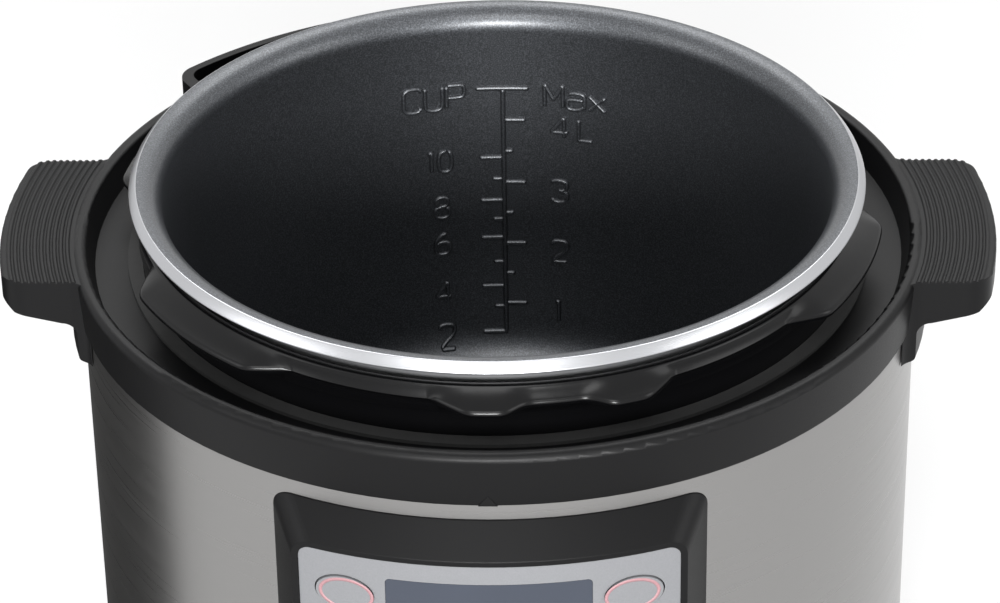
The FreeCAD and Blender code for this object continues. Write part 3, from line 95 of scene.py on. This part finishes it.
class Surface:
    """A material on one Principled shader, with patterns laid in the piece's own coordinates, in metres."""

    def __init__(self, name, inputs):
        """Inputs are the shader's plain values by input name."""
        self.material = bpy.data.materials.new(name)
        self.material.use_nodes = True
        self.tree = self.material.node_tree
        self.shader = self.tree.nodes["Principled BSDF"]
        for label, value in inputs.items():
            self.shader.inputs[label].default_value = value

    def place(self, stretch=None):
        """The piece's own coordinates, multiplied along x, y and z where asked."""
        own = put(self.tree, "ShaderNodeTexCoord").outputs["Object"]
        if stretch is None:
            return own
        return put(self.tree, "ShaderNodeMapping", {"Vector": own, "Scale": stretch}).outputs[0]

    def noise(self, scale, detail, stretch=None):
        """Grey noise in those coordinates: a larger scale is finer."""
        inputs = {"Vector": self.place(stretch), "Scale": scale, "Detail": detail}
        return put(self.tree, "ShaderNodeTexNoise", inputs).outputs["Fac"]

    def blend(self, grey, first, second):
        """Base colour from one hex tone to another, by a grey value."""
        tone = put(self.tree, "ShaderNodeMix", {"Factor": grey, "A": linear(first), "B": linear(second)},
                   data_type="RGBA")
        self.tree.links.new(tone.outputs["Result"], self.shader.inputs["Base Color"])

    def roughen(self, grey, low, high):
        """Roughness from low to high, by a grey value."""
        level = put(self.tree, "ShaderNodeMapRange", {"Value": grey, "To Min": low, "To Max": high})
        self.tree.links.new(level.outputs[0], self.shader.inputs["Roughness"])

    def bump(self, grey, strength, height):
        """Relief in the shading from a grey value, which stands for a height in metres. Returns its node."""
        relief = put(self.tree, "ShaderNodeBump", {"Height": grey, "Strength": strength, "Distance": height})
        self.tree.links.new(relief.outputs[0], self.shader.inputs["Normal"])
        return relief


def dress(names, surface):
    """Give each named CAD piece one surface in place of its own."""
    for name in names:
        parts[name].data.materials.clear()
        parts[name].data.materials.append(surface.material)


world = bpy.data.worlds.new("studio")
scene.world = world
world.use_nodes = True
sky = world.node_tree
sky.nodes.clear()
ray = put(sky, "ShaderNodeLightPath")
direct = put(sky, "ShaderNodeMath", {0: ray.outputs["Is Camera Ray"], 1: ray.outputs["Is Transmission Ray"]},
             operation="MAXIMUM")
shown = put(sky, "ShaderNodeMath", {0: direct.outputs[0], 1: ray.outputs["Is Glossy Ray"]},
            operation="MAXIMUM")
seen = put(sky, "ShaderNodeBackground", {"Color": WHITE, "Strength": 1.0})
fill = put(sky, "ShaderNodeBackground", {"Color": WHITE, "Strength": 0.25})
both = put(sky, "ShaderNodeMixShader", {0: shown.outputs[0], 1: fill.outputs[0], 2: seen.outputs[0]})
put(sky, "ShaderNodeOutputWorld", {"Surface": both.outputs[0]})

for name, place, aim, size, power in (
    ("top softbox", (0.0, 0.9, 1.5), (0, 0, 0.2), (1.6, 0.7), 16.0),
    ("left softbox", (-1.5, -0.6, 1.0), (0, 0, 0.2), (0.8, 1.0), 5.0),
    ("right softbox", (1.5, -0.5, 0.9), (0, 0, 0.2), (0.8, 1.0), 6.0),
    ("front softbox", (0.0, -2.4, 0.85), (0, 0, 0.24), (0.7, 0.5), 80.0),
    ("rim softbox", (-0.1, -1.2, 1.7), (0, 0, 0.24), (0.9, 0.7), 10.0),
):
    lamp = bpy.data.lights.new(name, "AREA")
    lamp.shape = "RECTANGLE"
    lamp.size, lamp.size_y = size
    lamp.energy = power
    holder = bpy.data.objects.new(name, lamp)
    holder.location = place
    holder.rotation_euler = (Vector(aim) - Vector(place)).to_track_quat("-Z", "Y").to_euler()
    scene.collection.objects.link(holder)

FLOOR_GLOW = 0.5      # what the floor adds to itself where the camera or a reflection sees it
floor_mesh = bpy.data.meshes.new("floor")
floor_mesh.from_pydata([(-6, -6, 0), (6, -6, 0), (6, 6, 0), (-6, 6, 0)], [], [(0, 1, 2, 3)])
floor = bpy.data.objects.new("floor", floor_mesh)
scene.collection.objects.link(floor)
paper = Surface("white paper", {"Base Color": linear("#b2b2b2"), "Roughness": 0.9,
                                "Specular IOR Level": 0.1})
paper_ray = put(paper.tree, "ShaderNodeLightPath")
paper_seen = put(paper.tree, "ShaderNodeMath", {0: paper_ray.outputs["Is Camera Ray"],
                                                1: paper_ray.outputs["Is Glossy Ray"]}, operation="MAXIMUM")
paper_level = put(paper.tree, "ShaderNodeMath", {0: paper_seen.outputs[0], 1: FLOOR_GLOW},
                  operation="MULTIPLY")
paper_glow = put(paper.tree, "ShaderNodeEmission", {"Color": WHITE, "Strength": paper_level.outputs[0]})
paper_sum = put(paper.tree, "ShaderNodeAddShader", {0: paper.shader.outputs[0], 1: paper_glow.outputs[0]})
paper.tree.links.new(paper_sum.outputs[0], paper.tree.nodes["Material Output"].inputs["Surface"])
floor_mesh.materials.append(paper.material)

FLAG_Z = 0.002        # metres, just above the floor
flag_corners = [(-0.16, -0.08), (-1.4, 0.17), (-1.4, 1.4), (-0.16, 1.4)]
flag_mesh = bpy.data.meshes.new("flag")
flag_mesh.from_pydata([(x, y, FLAG_Z) for x, y in flag_corners], [], [(3, 2, 1, 0)])
flag = bpy.data.objects.new("flag", flag_mesh)
scene.collection.objects.link(flag)
flag.visible_camera = False
flag.visible_diffuse = False
flag.visible_shadow = False
felt = Surface("black felt", {"Base Color": linear("#151515"), "Roughness": 1.0})
flag_mesh.materials.append(felt.material)


# Inner pot: one aluminium cup, spun to a rolled lip. A dark speckled non-stick coat covers the inside and
# the lip, and the rim's edge is turned bare and bright afterwards.
def skin(name, points, faces):
    """Smooth mesh from points and faces, turned outward: faces are reversed where the volume, the sum of
    p0 . (p1 x p2) / 6, is negative."""
    points = np.asarray(points, float)
    volume = 0.0
    for face in faces:
        for k in range(1, len(face) - 1):
            volume += np.dot(points[face[0]], np.cross(points[face[k]], points[face[k + 1]]))
    if volume < 0:
        faces = [face[::-1] for face in faces]
    mesh = bpy.data.meshes.new(name)
    mesh.from_pydata(points.tolist(), [], faces)
    mesh.polygons.foreach_set("use_smooth", np.ones(len(faces), bool))
    return mesh


def grid_faces(rows, columns, loop_rows=False):
    """Quads of a grid of points whose columns close round, and its rows too where asked."""
    index = np.arange(rows * columns).reshape(rows, columns)
    after = np.roll(index, -1, 1)
    if loop_rows:
        index = np.vstack([index, index[:1]])
        after = np.vstack([after, after[:1]])
    return np.stack([index[:-1], index[1:], after[1:], after[:-1]], -1).reshape(-1, 4).tolist()


def tube_faces(rows, columns):
    """Quads of a tube whose rows of points close round, with a face over each end."""
    first_end = list(range(columns))
    last_end = list(range((rows - 1) * columns, rows * columns))[::-1]
    return grid_faces(rows, columns) + [first_end, last_end]


def lathe(profile, steps):
    """Surface of revolution: profile (r, z) at each angle a gives (r sin a, -r cos a, z). The first and the
    last ring are closed to a point on the axis. Returns points and faces, in the order of the profile."""
    angle = np.linspace(0, 2 * np.pi, steps, endpoint=False)
    r, z = profile[:, 0], profile[:, 1]
    x = r[:, None] * np.sin(angle)
    y = -r[:, None] * np.cos(angle)
    rings = np.stack([x, y, np.repeat(z[:, None], steps, 1)], -1).reshape(-1, 3)
    points = np.vstack([rings, [(0, 0, z[0]), (0, 0, z[-1])]])
    faces = grid_faces(len(profile), steps)
    last = (len(profile) - 1) * steps
    for k in range(steps):
        after = (k + 1) % steps
        faces.append([len(rings), k, after])
        faces.append([len(rings) + 1, last + after, last + k])
    return points, faces


def arc(centre, radius, a0, a1, count):
    """Points (r, z) of a circular arc from angle a0 to a1, in degrees from the +r direction."""
    a = np.radians(np.linspace(a0, a1, count))
    return np.stack([centre[0] + radius * np.cos(a), centre[1] + radius * np.sin(a)], -1)


def add_piece(name, mesh, body, surfaces):
    """Object for a mesh, with the given surfaces: it rides on a CAD body."""
    for surface in surfaces:
        mesh.materials.append(surface.material)
    piece = bpy.data.objects.new(name, mesh)
    scene.collection.objects.link(piece)
    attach(piece, body)
    return piece


BORE_R = 111.0
RIM_Z = 245.0
POT_FLOOR_Z = 96.0
POT_WALL = 2.0
CORNER_R = 22.0       # round corner between floor and wall
LIP_R = 8.0           # rolled lip
FLAT_R = 88.0         # the floor's flat part ends here
TIP_R = 0.5           # first ring round the axis
POT_STEPS = 240
corner_mid = (BORE_R - CORNER_R, POT_FLOOR_Z + CORNER_R)
lip_mid = (BORE_R + LIP_R, RIM_Z - LIP_R)
back_r = BORE_R + POT_WALL
under_z = POT_FLOOR_Z - POT_WALL
coated = np.concatenate([
    np.linspace((TIP_R, POT_FLOOR_Z), (FLAT_R, POT_FLOOR_Z), 12),
    arc(corner_mid, CORNER_R, -90, 0, 14),
    np.linspace((BORE_R, 120.0), (BORE_R, 236.0), 30),
    arc(lip_mid, LIP_R, 180, 90, 14),
    [(119.3, RIM_Z)],
])
bare = np.array([(119.3, RIM_Z), (119.5, 244.95), (119.7, 244.8), (121.7, 242.42), (121.88, 242.14),
                 (121.8, 241.85), (121.4, 241.6)])
outside = np.concatenate([
    [(121.4, 241.6), (120.9, 241.64)],
    arc(lip_mid, LIP_R - POT_WALL, 90, 180, 10),
    np.linspace((back_r, 235.0), (back_r, 120.0), 12),
    arc(corner_mid, CORNER_R + POT_WALL, 0, -90, 14),
    np.linspace((FLAT_R, under_z), (TIP_R, under_z), 6),
])
pot_profile = np.concatenate([coated, bare[1:], outside[1:]])
pot_points, pot_faces = lathe(pot_profile, POT_STEPS)
pot_mesh = skin("pot_cup", pot_points * MM, pot_faces)
# zones along the profile are 0 for the coat, 1 for the bare rim and 2 for the spun outside
band = np.repeat(np.arange(len(pot_profile) - 1), POT_STEPS)
pot_zone = np.where(band < len(coated) - 1, 0, np.where(band < len(coated) + len(bare) - 2, 1, 2))
pot_zone = np.concatenate([pot_zone, np.tile([0, 2], POT_STEPS)])
pot_mesh.polygons.foreach_set("material_index", pot_zone.astype(np.int32))

# The coat is sprayed resin with metal flake: dark, softly shiny, with a fine pebbled skin and pale specks.
# Its flakes are under 0.1 mm, drawn near 0.5 mm so that they show.
coat = Surface("speckled non-stick coat", {"Roughness": 0.46, "Metallic": 0.85, "Coat Weight": 0.7,
                                           "Coat Roughness": 0.3})
flakes = put(coat.tree, "ShaderNodeMapRange", {"Value": coat.noise(2100.0, 1.0), "From Min": 0.4,
                                               "From Max": 0.8})
coat.blend(flakes.outputs[0], "#393b3e", "#64676c")
coat.bump(coat.noise(900.0, 2.0), 0.2, 0.0002)

# Turned aluminium: bright, with faint rings left by the tool.
bright = Surface("turned aluminium", {"Base Color": linear("#bcbdc0"), "Metallic": 1.0, "Roughness": 0.28})
tool_rings = put(bright.tree, "ShaderNodeTexWave", {"Vector": bright.place(), "Scale": 900.0,
                                                    "Distortion": 0.4}, bands_direction="Z")
bright.bump(tool_rings.outputs["Fac"], 0.1, 0.0001)

# Spun aluminium outside, left bare and satin.
spun = Surface("spun aluminium", {"Base Color": linear("#9b9c9e"), "Metallic": 1.0, "Roughness": 0.55})
spun.bump(spun.noise(1.0, 3.0, stretch=(8.0, 8.0, 1500.0)), 0.15, 0.0002)

pot = add_piece("pot_cup", pot_mesh, "pot", [coat, bright, spun])
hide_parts("inner_pot")


# Litre and cup scale: raised half-round ridges pressed into the pot's back wall before it is coated.
# Plain single-stroke figures stand beside the marks.
def smooth(points, closed=False):
    """Corner-cutting curve: each pass puts points a quarter and three quarters along every side."""
    points = np.array(points, float)
    for _ in range(3):
        after = np.roll(points, -1, 0) if closed else points[1:]
        before = points if closed else points[:-1]
        cut = np.stack([0.75 * before + 0.25 * after, 0.25 * before + 0.75 * after], 1).reshape(-1, 2)
        points = cut if closed else np.vstack([points[:1], cut, points[-1:]])
    return np.vstack([points, points[:1]]) if closed else points


def ridge(path, width, height):
    """Half-round ridge on the wall: at each point of the path (u, z) the section (w cos t, h sin t) is
    laid across it, with u the arc length round the bore and h pointing at the pot's axis."""
    path = np.array(path, float)
    step = np.linalg.norm(np.diff(path, axis=0), axis=1)
    along = np.concatenate([[0], np.cumsum(step)])
    count = max(4, int(along[-1] / 0.5) + 2)
    even = np.linspace(0, along[-1], count)
    path = np.stack([np.interp(even, along, path[:, k]) for k in (0, 1)], -1)
    ahead = np.gradient(path, axis=0)
    ahead /= np.linalg.norm(ahead, axis=1)[:, None]
    across = np.stack([-ahead[:, 1], ahead[:, 0]], -1)
    # both ends are rounded off over half the width
    from_end = np.clip(np.minimum(even, along[-1] - even) / (width / 2), 0.0, 1.0)
    taper = np.sqrt(from_end * (2 - from_end))
    t = np.linspace(0, np.pi, 9)
    # the section's foot reaches a little into the wall
    section = np.concatenate([np.cos(t), [-1.0, 1.0]])
    lift = np.concatenate([np.sin(t), [-0.4, -0.4]])
    offset = section[None, :] * (width / 2) * (0.3 + 0.7 * taper[:, None])
    rise = lift[None, :] * height * np.where(lift > 0, taper[:, None], 1.0)
    u = path[:, None, 0] + across[:, None, 0] * offset
    z = path[:, None, 1] + across[:, None, 1] * offset
    bend = np.sqrt(np.clip(CORNER_R ** 2 - (corner_mid[1] - z) ** 2, 0.0, None))
    r = np.where(z > corner_mid[1], BORE_R, corner_mid[0] + bend) - rise
    a = u / BORE_R
    points = np.stack([r * np.sin(a), r * np.cos(a), z], -1)
    return points.reshape(-1, 3), tube_faces(*points.shape[:2])


# strokes of each figure in a box one unit wide and one unit tall
FIGURES = {
    "0": [smooth([(.5, 1), (.85, .95), (1, .7), (1, .3), (.85, .05), (.5, 0), (.15, .05), (0, .3), (0, .7),
                  (.15, .95)], True)],
    "1": [[(.35, .86), (.6, 1), (.6, 0)]],
    "2": [smooth([(0, .78), (.05, 1), (.5, 1.04), (.98, .98), (1, .7), (.8, .5), (.3, .25), (0, 0)]),
          [(0, 0), (1, 0)]],
    "3": [smooth([(0, .86), (.15, 1.02), (.6, 1.03), (1, .95), (1, .62), (.75, .53), (.4, .53)]),
          smooth([(.4, .53), (.8, .53), (1.02, .4), (1, .08), (.65, -.03), (.2, -.02), (0, .16)])],
    "4": [[(.72, 0), (.72, 1), (0, .3), (1, .3)]],
    "6": [smooth([(.8, 1), (.45, .95), (.1, .7), (0, .45), (0, .15), (.2, 0), (.5, -.02), (.85, .03),
                  (1, .25), (.95, .5), (.65, .6), (.3, .58), (.02, .4)])],
    "8": [smooth([(.5, .53), (.12, .6), (.08, .9), (.5, 1.03), (.92, .9), (.88, .6)], True),
          smooth([(.5, .53), (.95, .48), (1.02, .08), (.5, -.04), (-.02, .08), (.05, .48)], True)],
    "C": [smooth([(1, .8), (.9, 1), (.45, 1.03), (0, .95), (0, .5), (0, .05), (.45, -.03), (.9, 0),
                  (1, .2)])],
    "U": [smooth([(0, 1), (0, .6), (0, .1), (.25, -.03), (.75, -.03), (1, .1), (1, .6), (1, 1)])],
    "P": [[(0, 0), (0, 1)], smooth([(0, 1), (.5, 1), (1, 1), (1.02, .5), (.6, .46), (0, .46)])],
    "M": [[(0, 0), (0, 1), (.5, .35), (1, 1), (1, 0)]],
    "a": [smooth([(.1, .6), (.3, .7), (.7, .7), (1, .65), (1, .4), (1, 0)]),
          smooth([(1, .4), (.6, .42), (.1, .42), (0, .2), (.1, 0), (.5, -.02), (.9, .05), (1, .22)])],
    "x": [[(0, .68), (1, 0)], [(1, .68), (0, 0)]],
    "L": [[(0, 1), (0, 0), (1, 0)]],
}

MID = -0.9            # the scale's upright line, along the wall from straight behind
TOP_Z = 213.9
FOOT_Z = 111.7
FOUR_LITRES_Z = 213.86
HALF_LITRE = 12.917
CUP_DEPTHS = (59.6, 68.5, 77.5, 85.5, 93.3, 103.8, 114.2, 123.0)  # ten cups down to three, below the rim
LINE_W = 2.0
FIGURE_W = 1.7
RIDGE_H = 1.0
lines = [[(MID, TOP_Z), (MID, FOOT_Z), (MID - 9.0, FOOT_Z)], [(MID - 10.0, TOP_Z), (MID + 9.6, TOP_Z)]]
for k in range(1, 8):
    z = FOUR_LITRES_Z - HALF_LITRE * k
    lines.append([(MID, z), (MID + (8.3 if k % 2 else 3.8), z)])
for cups, depth in zip(range(10, 2, -1), CUP_DEPTHS):
    lines.append([(MID, RIM_Z - depth), (MID - (9.0 if cups % 2 == 0 else 4.5), RIM_Z - depth)])
strokes = [(path, LINE_W) for path in lines]
# each word with its left edge, its foot from the rim, a figure's width and height, and the space between
words = [
    ("CUP", -37.0, -38.4, 6.4, 9.3, 1.5), ("Max", 14.2, -38.3, 6.6, 9.3, 1.4),
    ("4", 16.6, -50.8, 6.4, 8.6, 0), ("L", 26.6, -50.8, 5.4, 8.6, 0),
    ("10", -30.2, -64.4, 4.9, 8.6, 0.6), ("8", -26.6, -83.6, 5.6, 8.6, 0),
    ("6", -26.6, -99.0, 5.6, 8.6, 0), ("4", -26.6, -119.8, 5.8, 8.6, 0),
    ("2", -26.0, -138.4, 5.8, 8.6, 0), ("3", 16.4, -77.2, 5.8, 8.6, 0),
    ("2", 16.4, -102.8, 5.8, 8.6, 0), ("1", 15.8, -128.4, 5.0, 8.6, 0),
]
for text, left, low, wide, tall, space in words:
    for k, figure in enumerate(text):
        for path in FIGURES[figure]:
            path = np.array(path, float)
            path = np.stack([left + (wide + space) * k + path[:, 0] * wide,
                             RIM_Z + low + path[:, 1] * tall], -1)
            strokes.append((path, FIGURE_W))
scale_points = []
scale_faces = []
for path, width in strokes:
    points, faces = ridge(path, width, RIDGE_H)
    first = len(scale_points)
    scale_points.extend(points.tolist())
    scale_faces.extend([[first + corner for corner in face] for face in faces])
scale_mesh = skin("pot_scale", np.array(scale_points) * MM, scale_faces)
add_piece("pot_scale", scale_mesh, "pot", [coat])


# Moulded black plastic of the cover, handles, tray, bezel and cup: ABS from a spark-textured tool, so it
# has a fine even grain and a soft shine. The grain is about 0.1 mm, drawn at 0.4 mm so that it shows.
EASED_EDGE = 0.0005   # metres, in the shading only
abs_black = Surface("moulded black ABS", {"Base Color": linear("#060607"), "Specular IOR Level": 0.2})
grain = abs_black.noise(2400.0, 2.0)
abs_black.roughen(grain, 0.36, 0.5)
grain_bump = abs_black.bump(grain, 0.12, 0.0002)
eased = put(abs_black.tree, "ShaderNodeBevel", {"Radius": EASED_EDGE}, samples=4)
abs_black.tree.links.new(eased.outputs[0], grain_bump.inputs["Normal"])
dress(("top_cover", "handle_undercover_left", "handle_undercover_right", "base_tray", "panel_bezel",
       "inlet_housing", "condensate_cup", "cup_bracket"), abs_black)


# Outer vessel and locking ring: a pressed steel cup, and a rim with six rounded lugs that the lid turns
# under. The rim is in shiny black enamel. The steel cup is drawn in the same black as painted shade, for the
# dark channel between the lugs and the cover's ledge. The front lug has a dip in the middle.
enamel_and_painted_shade = Surface("black enamel", {"Base Color": linear("#060607"), "Roughness": 0.26,
                                  "Specular IOR Level": 0.25})
enamel_and_painted_shade.bump(enamel_and_painted_shade.noise(160.0, 2.0), 0.06, 0.001)
# painted shade: the outer vessel's steel takes the black enamel so that the channel round the lugs reads
# dark
dress(["outer_vessel"], enamel_and_painted_shade)

RING_R = 119.5        # outside of the ring between its lugs
LUG_R = 128.0
LUG_FALL_R = 118.0    # a lug's ends slant to here, inside the ring
DIP_R = 122.5
LUG_PITCH = 60.0      # degrees from lug to lug
LUG_TURN = 10.0       # degrees from the front to the front lug's middle
LUG_Z = 230.7         # middle of a lug's rounded edge
EDGE_LEAST = 0.02     # radius of that edge where a lug meets the ring
EDGE_MOST = 1.7


def lug_reach(angle):
    """Outer radius at an angle in degrees: LUG_R on a lug, falling to LUG_FALL_R over 7 degrees at each end,
    with a dip to DIP_R in the front lug. A raised-cosine average 4 degrees wide rounds the corners."""
    from_lug = np.abs((angle - LUG_TURN + LUG_PITCH / 2) % LUG_PITCH - LUG_PITCH / 2)
    reach = np.interp(from_lug, (13.0, 20.0), (LUG_R, LUG_FALL_R))
    from_front = np.abs((angle - LUG_TURN + 180.0) % 360.0 - 180.0)
    reach = np.minimum(reach, np.interp(from_front, (4.5, 7.5), (DIP_R, LUG_R)))
    share = 1 + np.cos(np.linspace(-np.pi, np.pi, 17))
    rolled = [weight * np.roll(reach, k - 8) for k, weight in enumerate(share)]
    return np.sum(rolled, 0) / np.sum(share)


angle = np.arange(0, 360, 0.25)
reach = np.maximum(lug_reach(angle), RING_R)
edge = np.clip(0.9 * (reach - RING_R) + EDGE_LEAST, EDGE_LEAST, EDGE_MOST)
edge_turn = np.radians(np.linspace(-90, 70, 11))[:, None]
edge_r = reach - edge + edge * np.cos(edge_turn)
edge_z = LUG_Z + edge * np.sin(edge_turn)
below = np.array([(116.5, 226.3), (116.8, 226.0), (119.2, 226.0), (RING_R, 226.3), (RING_R, 228.8)])
above = np.array([(RING_R, 235.0), (119.21, 235.71), (118.5, 236.0), (117.5, 236.0), (116.79, 235.71),
                  (116.5, 235.0)])
ring_r = np.vstack([np.repeat(below[:, :1], angle.size, 1), edge_r, np.repeat(above[:, :1], angle.size, 1)])
ring_z = np.vstack([np.repeat(below[:, 1:], angle.size, 1), edge_z, np.repeat(above[:, 1:], angle.size, 1)])
ring_turn = np.radians(angle)
ring_points = np.stack([ring_r * np.sin(ring_turn), -ring_r * np.cos(ring_turn), ring_z], -1)
ring_faces = grid_faces(len(ring_r), angle.size, loop_rows=True)
ring_mesh = skin("lug_ring", ring_points.reshape(-1, 3) * MM, ring_faces)
lug_ring = add_piece("lug_ring", ring_mesh, "housing", [enamel_and_painted_shade])
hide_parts("locking_ring")


# Steel shell: a rolled sleeve of stainless sheet, brushed round the body. Its brush lines are about 0.1 mm,
# drawn near 0.5 mm so that they show.
steel = Surface("brushed stainless steel", {"Base Color": linear("#949392"), "Metallic": 1.0})
brush = steel.noise(1.0, 4.0, stretch=(9.0, 9.0, 2000.0))
steel.bump(brush, 0.06, 0.0002)
steel.roughen(brush, 0.22, 0.38)
dress(["steel_shell"], steel)


# Panel overlay, display window and keys: a silver printed film, a slate-tinted pane and film-faced keys
# with a printed oval each.
film = Surface("silver printed film", {"Roughness": 0.45, "Metallic": 0.3})
film.blend(film.noise(1800.0, 2.0), "#7f8083", "#8b8c8f")
dress(["panel_overlay"], film)

pane = Surface("slate-tinted acrylic", {"Roughness": 0.22})
pane.blend(pane.noise(40.0, 1.0), "#333843", "#3b414d")
dress(["display_window"], pane)

ink = Surface("red screen ink", {"Roughness": 0.5})
ink.blend(ink.noise(1500.0, 2.0), "#9d7378", "#ae878b")

INK_BACK_R = 150.55   # the print's back lies just inside the key's face
INK_FRONT_R = 150.64  # and its front just proud of it
INK_W = 1.1
INK_INSET = 0.3       # from the key's edge
INK_STEPS = 96
KEY_HALF = (9.0, 6.25)
START_HALF = (15.0, 7.0)


def oval_band(x, z, half_w, half_h, width):
    """Printed band on the panel's cylinder: ellipses (x + a cos t, z + b sin t) for its outer and inner
    edge, each at the print's back and front. Returns points and faces of the closed ring."""
    t = np.linspace(0, 2 * np.pi, INK_STEPS, endpoint=False)
    inset = np.array([0.0, 0.0, width, width])[:, None]
    face = np.array([INK_BACK_R, INK_FRONT_R, INK_FRONT_R, INK_BACK_R])[:, None]
    u = x + (half_w - inset) * np.cos(t)
    v = z + (half_h - inset) * np.sin(t)
    points = np.stack([u, -np.sqrt(face ** 2 - u ** 2), v], -1)
    return points.reshape(-1, 3) * MM, grid_faces(4, INK_STEPS, loop_rows=True)


for name in parts:
    if name.startswith("key_") and name != "key_switches" or name == "start_key":
        dress([name], film)
        low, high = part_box(name)
        middle = (low + high) * 500.0   # half of the sum, from metres to millimetres
        half = START_HALF if name == "start_key" else KEY_HALF
        points, faces = oval_band(middle.x, middle.z, half[0] - INK_INSET, half[1] - INK_INSET, INK_W)
        add_piece(name + "_ring", skin(name + "_ring", points, faces), name, [ink])


# Heating plate, sensor cap and guide: die-cast and turned aluminium, with the rings of the last facing cut.
cast = Surface("faced cast aluminium", {"Base Color": linear("#c3c4c6"), "Metallic": 1.0, "Roughness": 0.38})
facing = put(cast.tree, "ShaderNodeTexWave", {"Vector": cast.place(), "Scale": 260.0, "Distortion": 0.6},
             wave_type="RINGS", rings_direction="Z")
cast.bump(facing.outputs["Fac"], 0.2, 0.0002)
dress(("heating_plate", "sensor_cap", "sensor_guide"), cast)


# Brackets, element and fuse: plain pressed steel, satin with a faint rolled streak.
pressed = Surface("pressed steel sheet", {"Base Color": linear("#a9abad"), "Metallic": 1.0})
pressed.roughen(pressed.noise(1.0, 3.0, stretch=(300.0, 300.0, 25.0)), 0.3, 0.5)
dress(("vessel_brackets", "heating_element", "thermal_fuse"), pressed)


# Screws, nuts, rods and the sensor's spring: steel under bright zinc, a little cloudy. The spring is a coil
# of six turns on the housing.
zinc = Surface("zinc-plated steel", {"Metallic": 1.0, "Roughness": 0.33})
zinc.blend(zinc.noise(400.0, 3.0), "#b5b3aa", "#cfcfcc")
dress(("tie_rods", "plate_nuts", "handle_screws", "board_screws", "panel_screws", "inlet_screws",
       "cup_screws"), zinc)

TURN_STEPS = 40
WIRE_STEPS = 10


def coil(radius, wire, low, high, turns):
    """Helix (R cos t, R sin t, low + (high - low) t / T) with a round wire of points (w cos s, w sin s) laid
    across it in the outward and upward directions. Returns points and faces, with both ends closed."""
    t = np.linspace(0, 2 * np.pi * turns, TURN_STEPS * turns + 1)[:, None]
    around = np.linspace(0, 2 * np.pi, WIRE_STEPS, endpoint=False)
    r = radius + wire * np.cos(around)
    z = low + (high - low) * t / t[-1] + wire * np.sin(around)
    points = np.stack([r * np.cos(t), r * np.sin(t), z], -1)
    return points.reshape(-1, 3) * MM, tube_faces(len(t), WIRE_STEPS)


spring_points, spring_faces = coil(radius=10.0, wire=0.6, low=60.7, high=91.8, turns=6)
spring_mesh = skin("sensor_coil", spring_points, spring_faces)
spring = add_piece("sensor_coil", spring_mesh, "housing", [zinc])
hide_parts("sensor_spring")
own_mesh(spring)


# Feet and vessel seal: moulded rubber and silicone, dull black with a soft bloom.
rubber = Surface("moulded black rubber", {"Roughness": 0.75})
rubber.blend(rubber.noise(250.0, 3.0), "#1b1b1b", "#2a2a2a")
dress(("rubber_feet", "vessel_seal"), rubber)


# Circuit boards: glass-fibre laminate under green lacquer, with the weave showing faintly through.
board = Surface("green lacquered laminate", {"Roughness": 0.35})
weave = put(board.tree, "ShaderNodeTexChecker", {"Vector": board.place(), "Scale": 1200.0,
                                                 "Color1": linear("#1d5a35"), "Color2": linear("#226640")})
board.tree.links.new(weave.outputs["Color"], board.shader.inputs["Base Color"])
dress(("power_board", "control_board"), board)


# Electrical fittings: grey and black moulded nylon, with a fine tool grain.
for finish, code, names in (
    ("grey nylon", "#8b8b88", ("terminal_block", "transformer", "display_module", "cable_sockets",
                               "pressure_switch")),
    ("black nylon", "#1f1f21", ("relay", "capacitors", "key_switches", "inlet_socket")),
):
    nylon = Surface(finish, {"Base Color": linear(code), "Roughness": 0.5})
    nylon.bump(nylon.noise(1500.0, 2.0), 0.15, 0.0002)
    dress(names, nylon)


# Inlet pins: stamped brass blades under thin nickel, drawn along their length.
brass = Surface("nickelled brass", {"Base Color": linear("#d2c7a2"), "Metallic": 1.0})
brass.roughen(brass.noise(1.0, 2.0, stretch=(3000.0, 60.0, 3000.0)), 0.2, 0.35)
dress(["inlet_pins"], brass)


# Inner wiring: red silicone sleeves over the mains leads and a grey flat cable to the panel.
sleeve = Surface("silicone wire sleeve", {"Roughness": 0.6})
sleeve.blend(sleeve.noise(300.0, 2.0), "#8d2a22", "#a43a30")
dress(("inlet_leads", "heater_leads"), sleeve)
ribbon = Surface("flat cable jacket", {"Base Color": linear("#9a9a98"), "Roughness": 0.55})
cores = put(ribbon.tree, "ShaderNodeTexWave", {"Vector": ribbon.place(), "Scale": 250.0},
            bands_direction="X")
ribbon.bump(cores.outputs["Fac"], 0.5, 0.0005)
dress(["panel_cable"], ribbon)
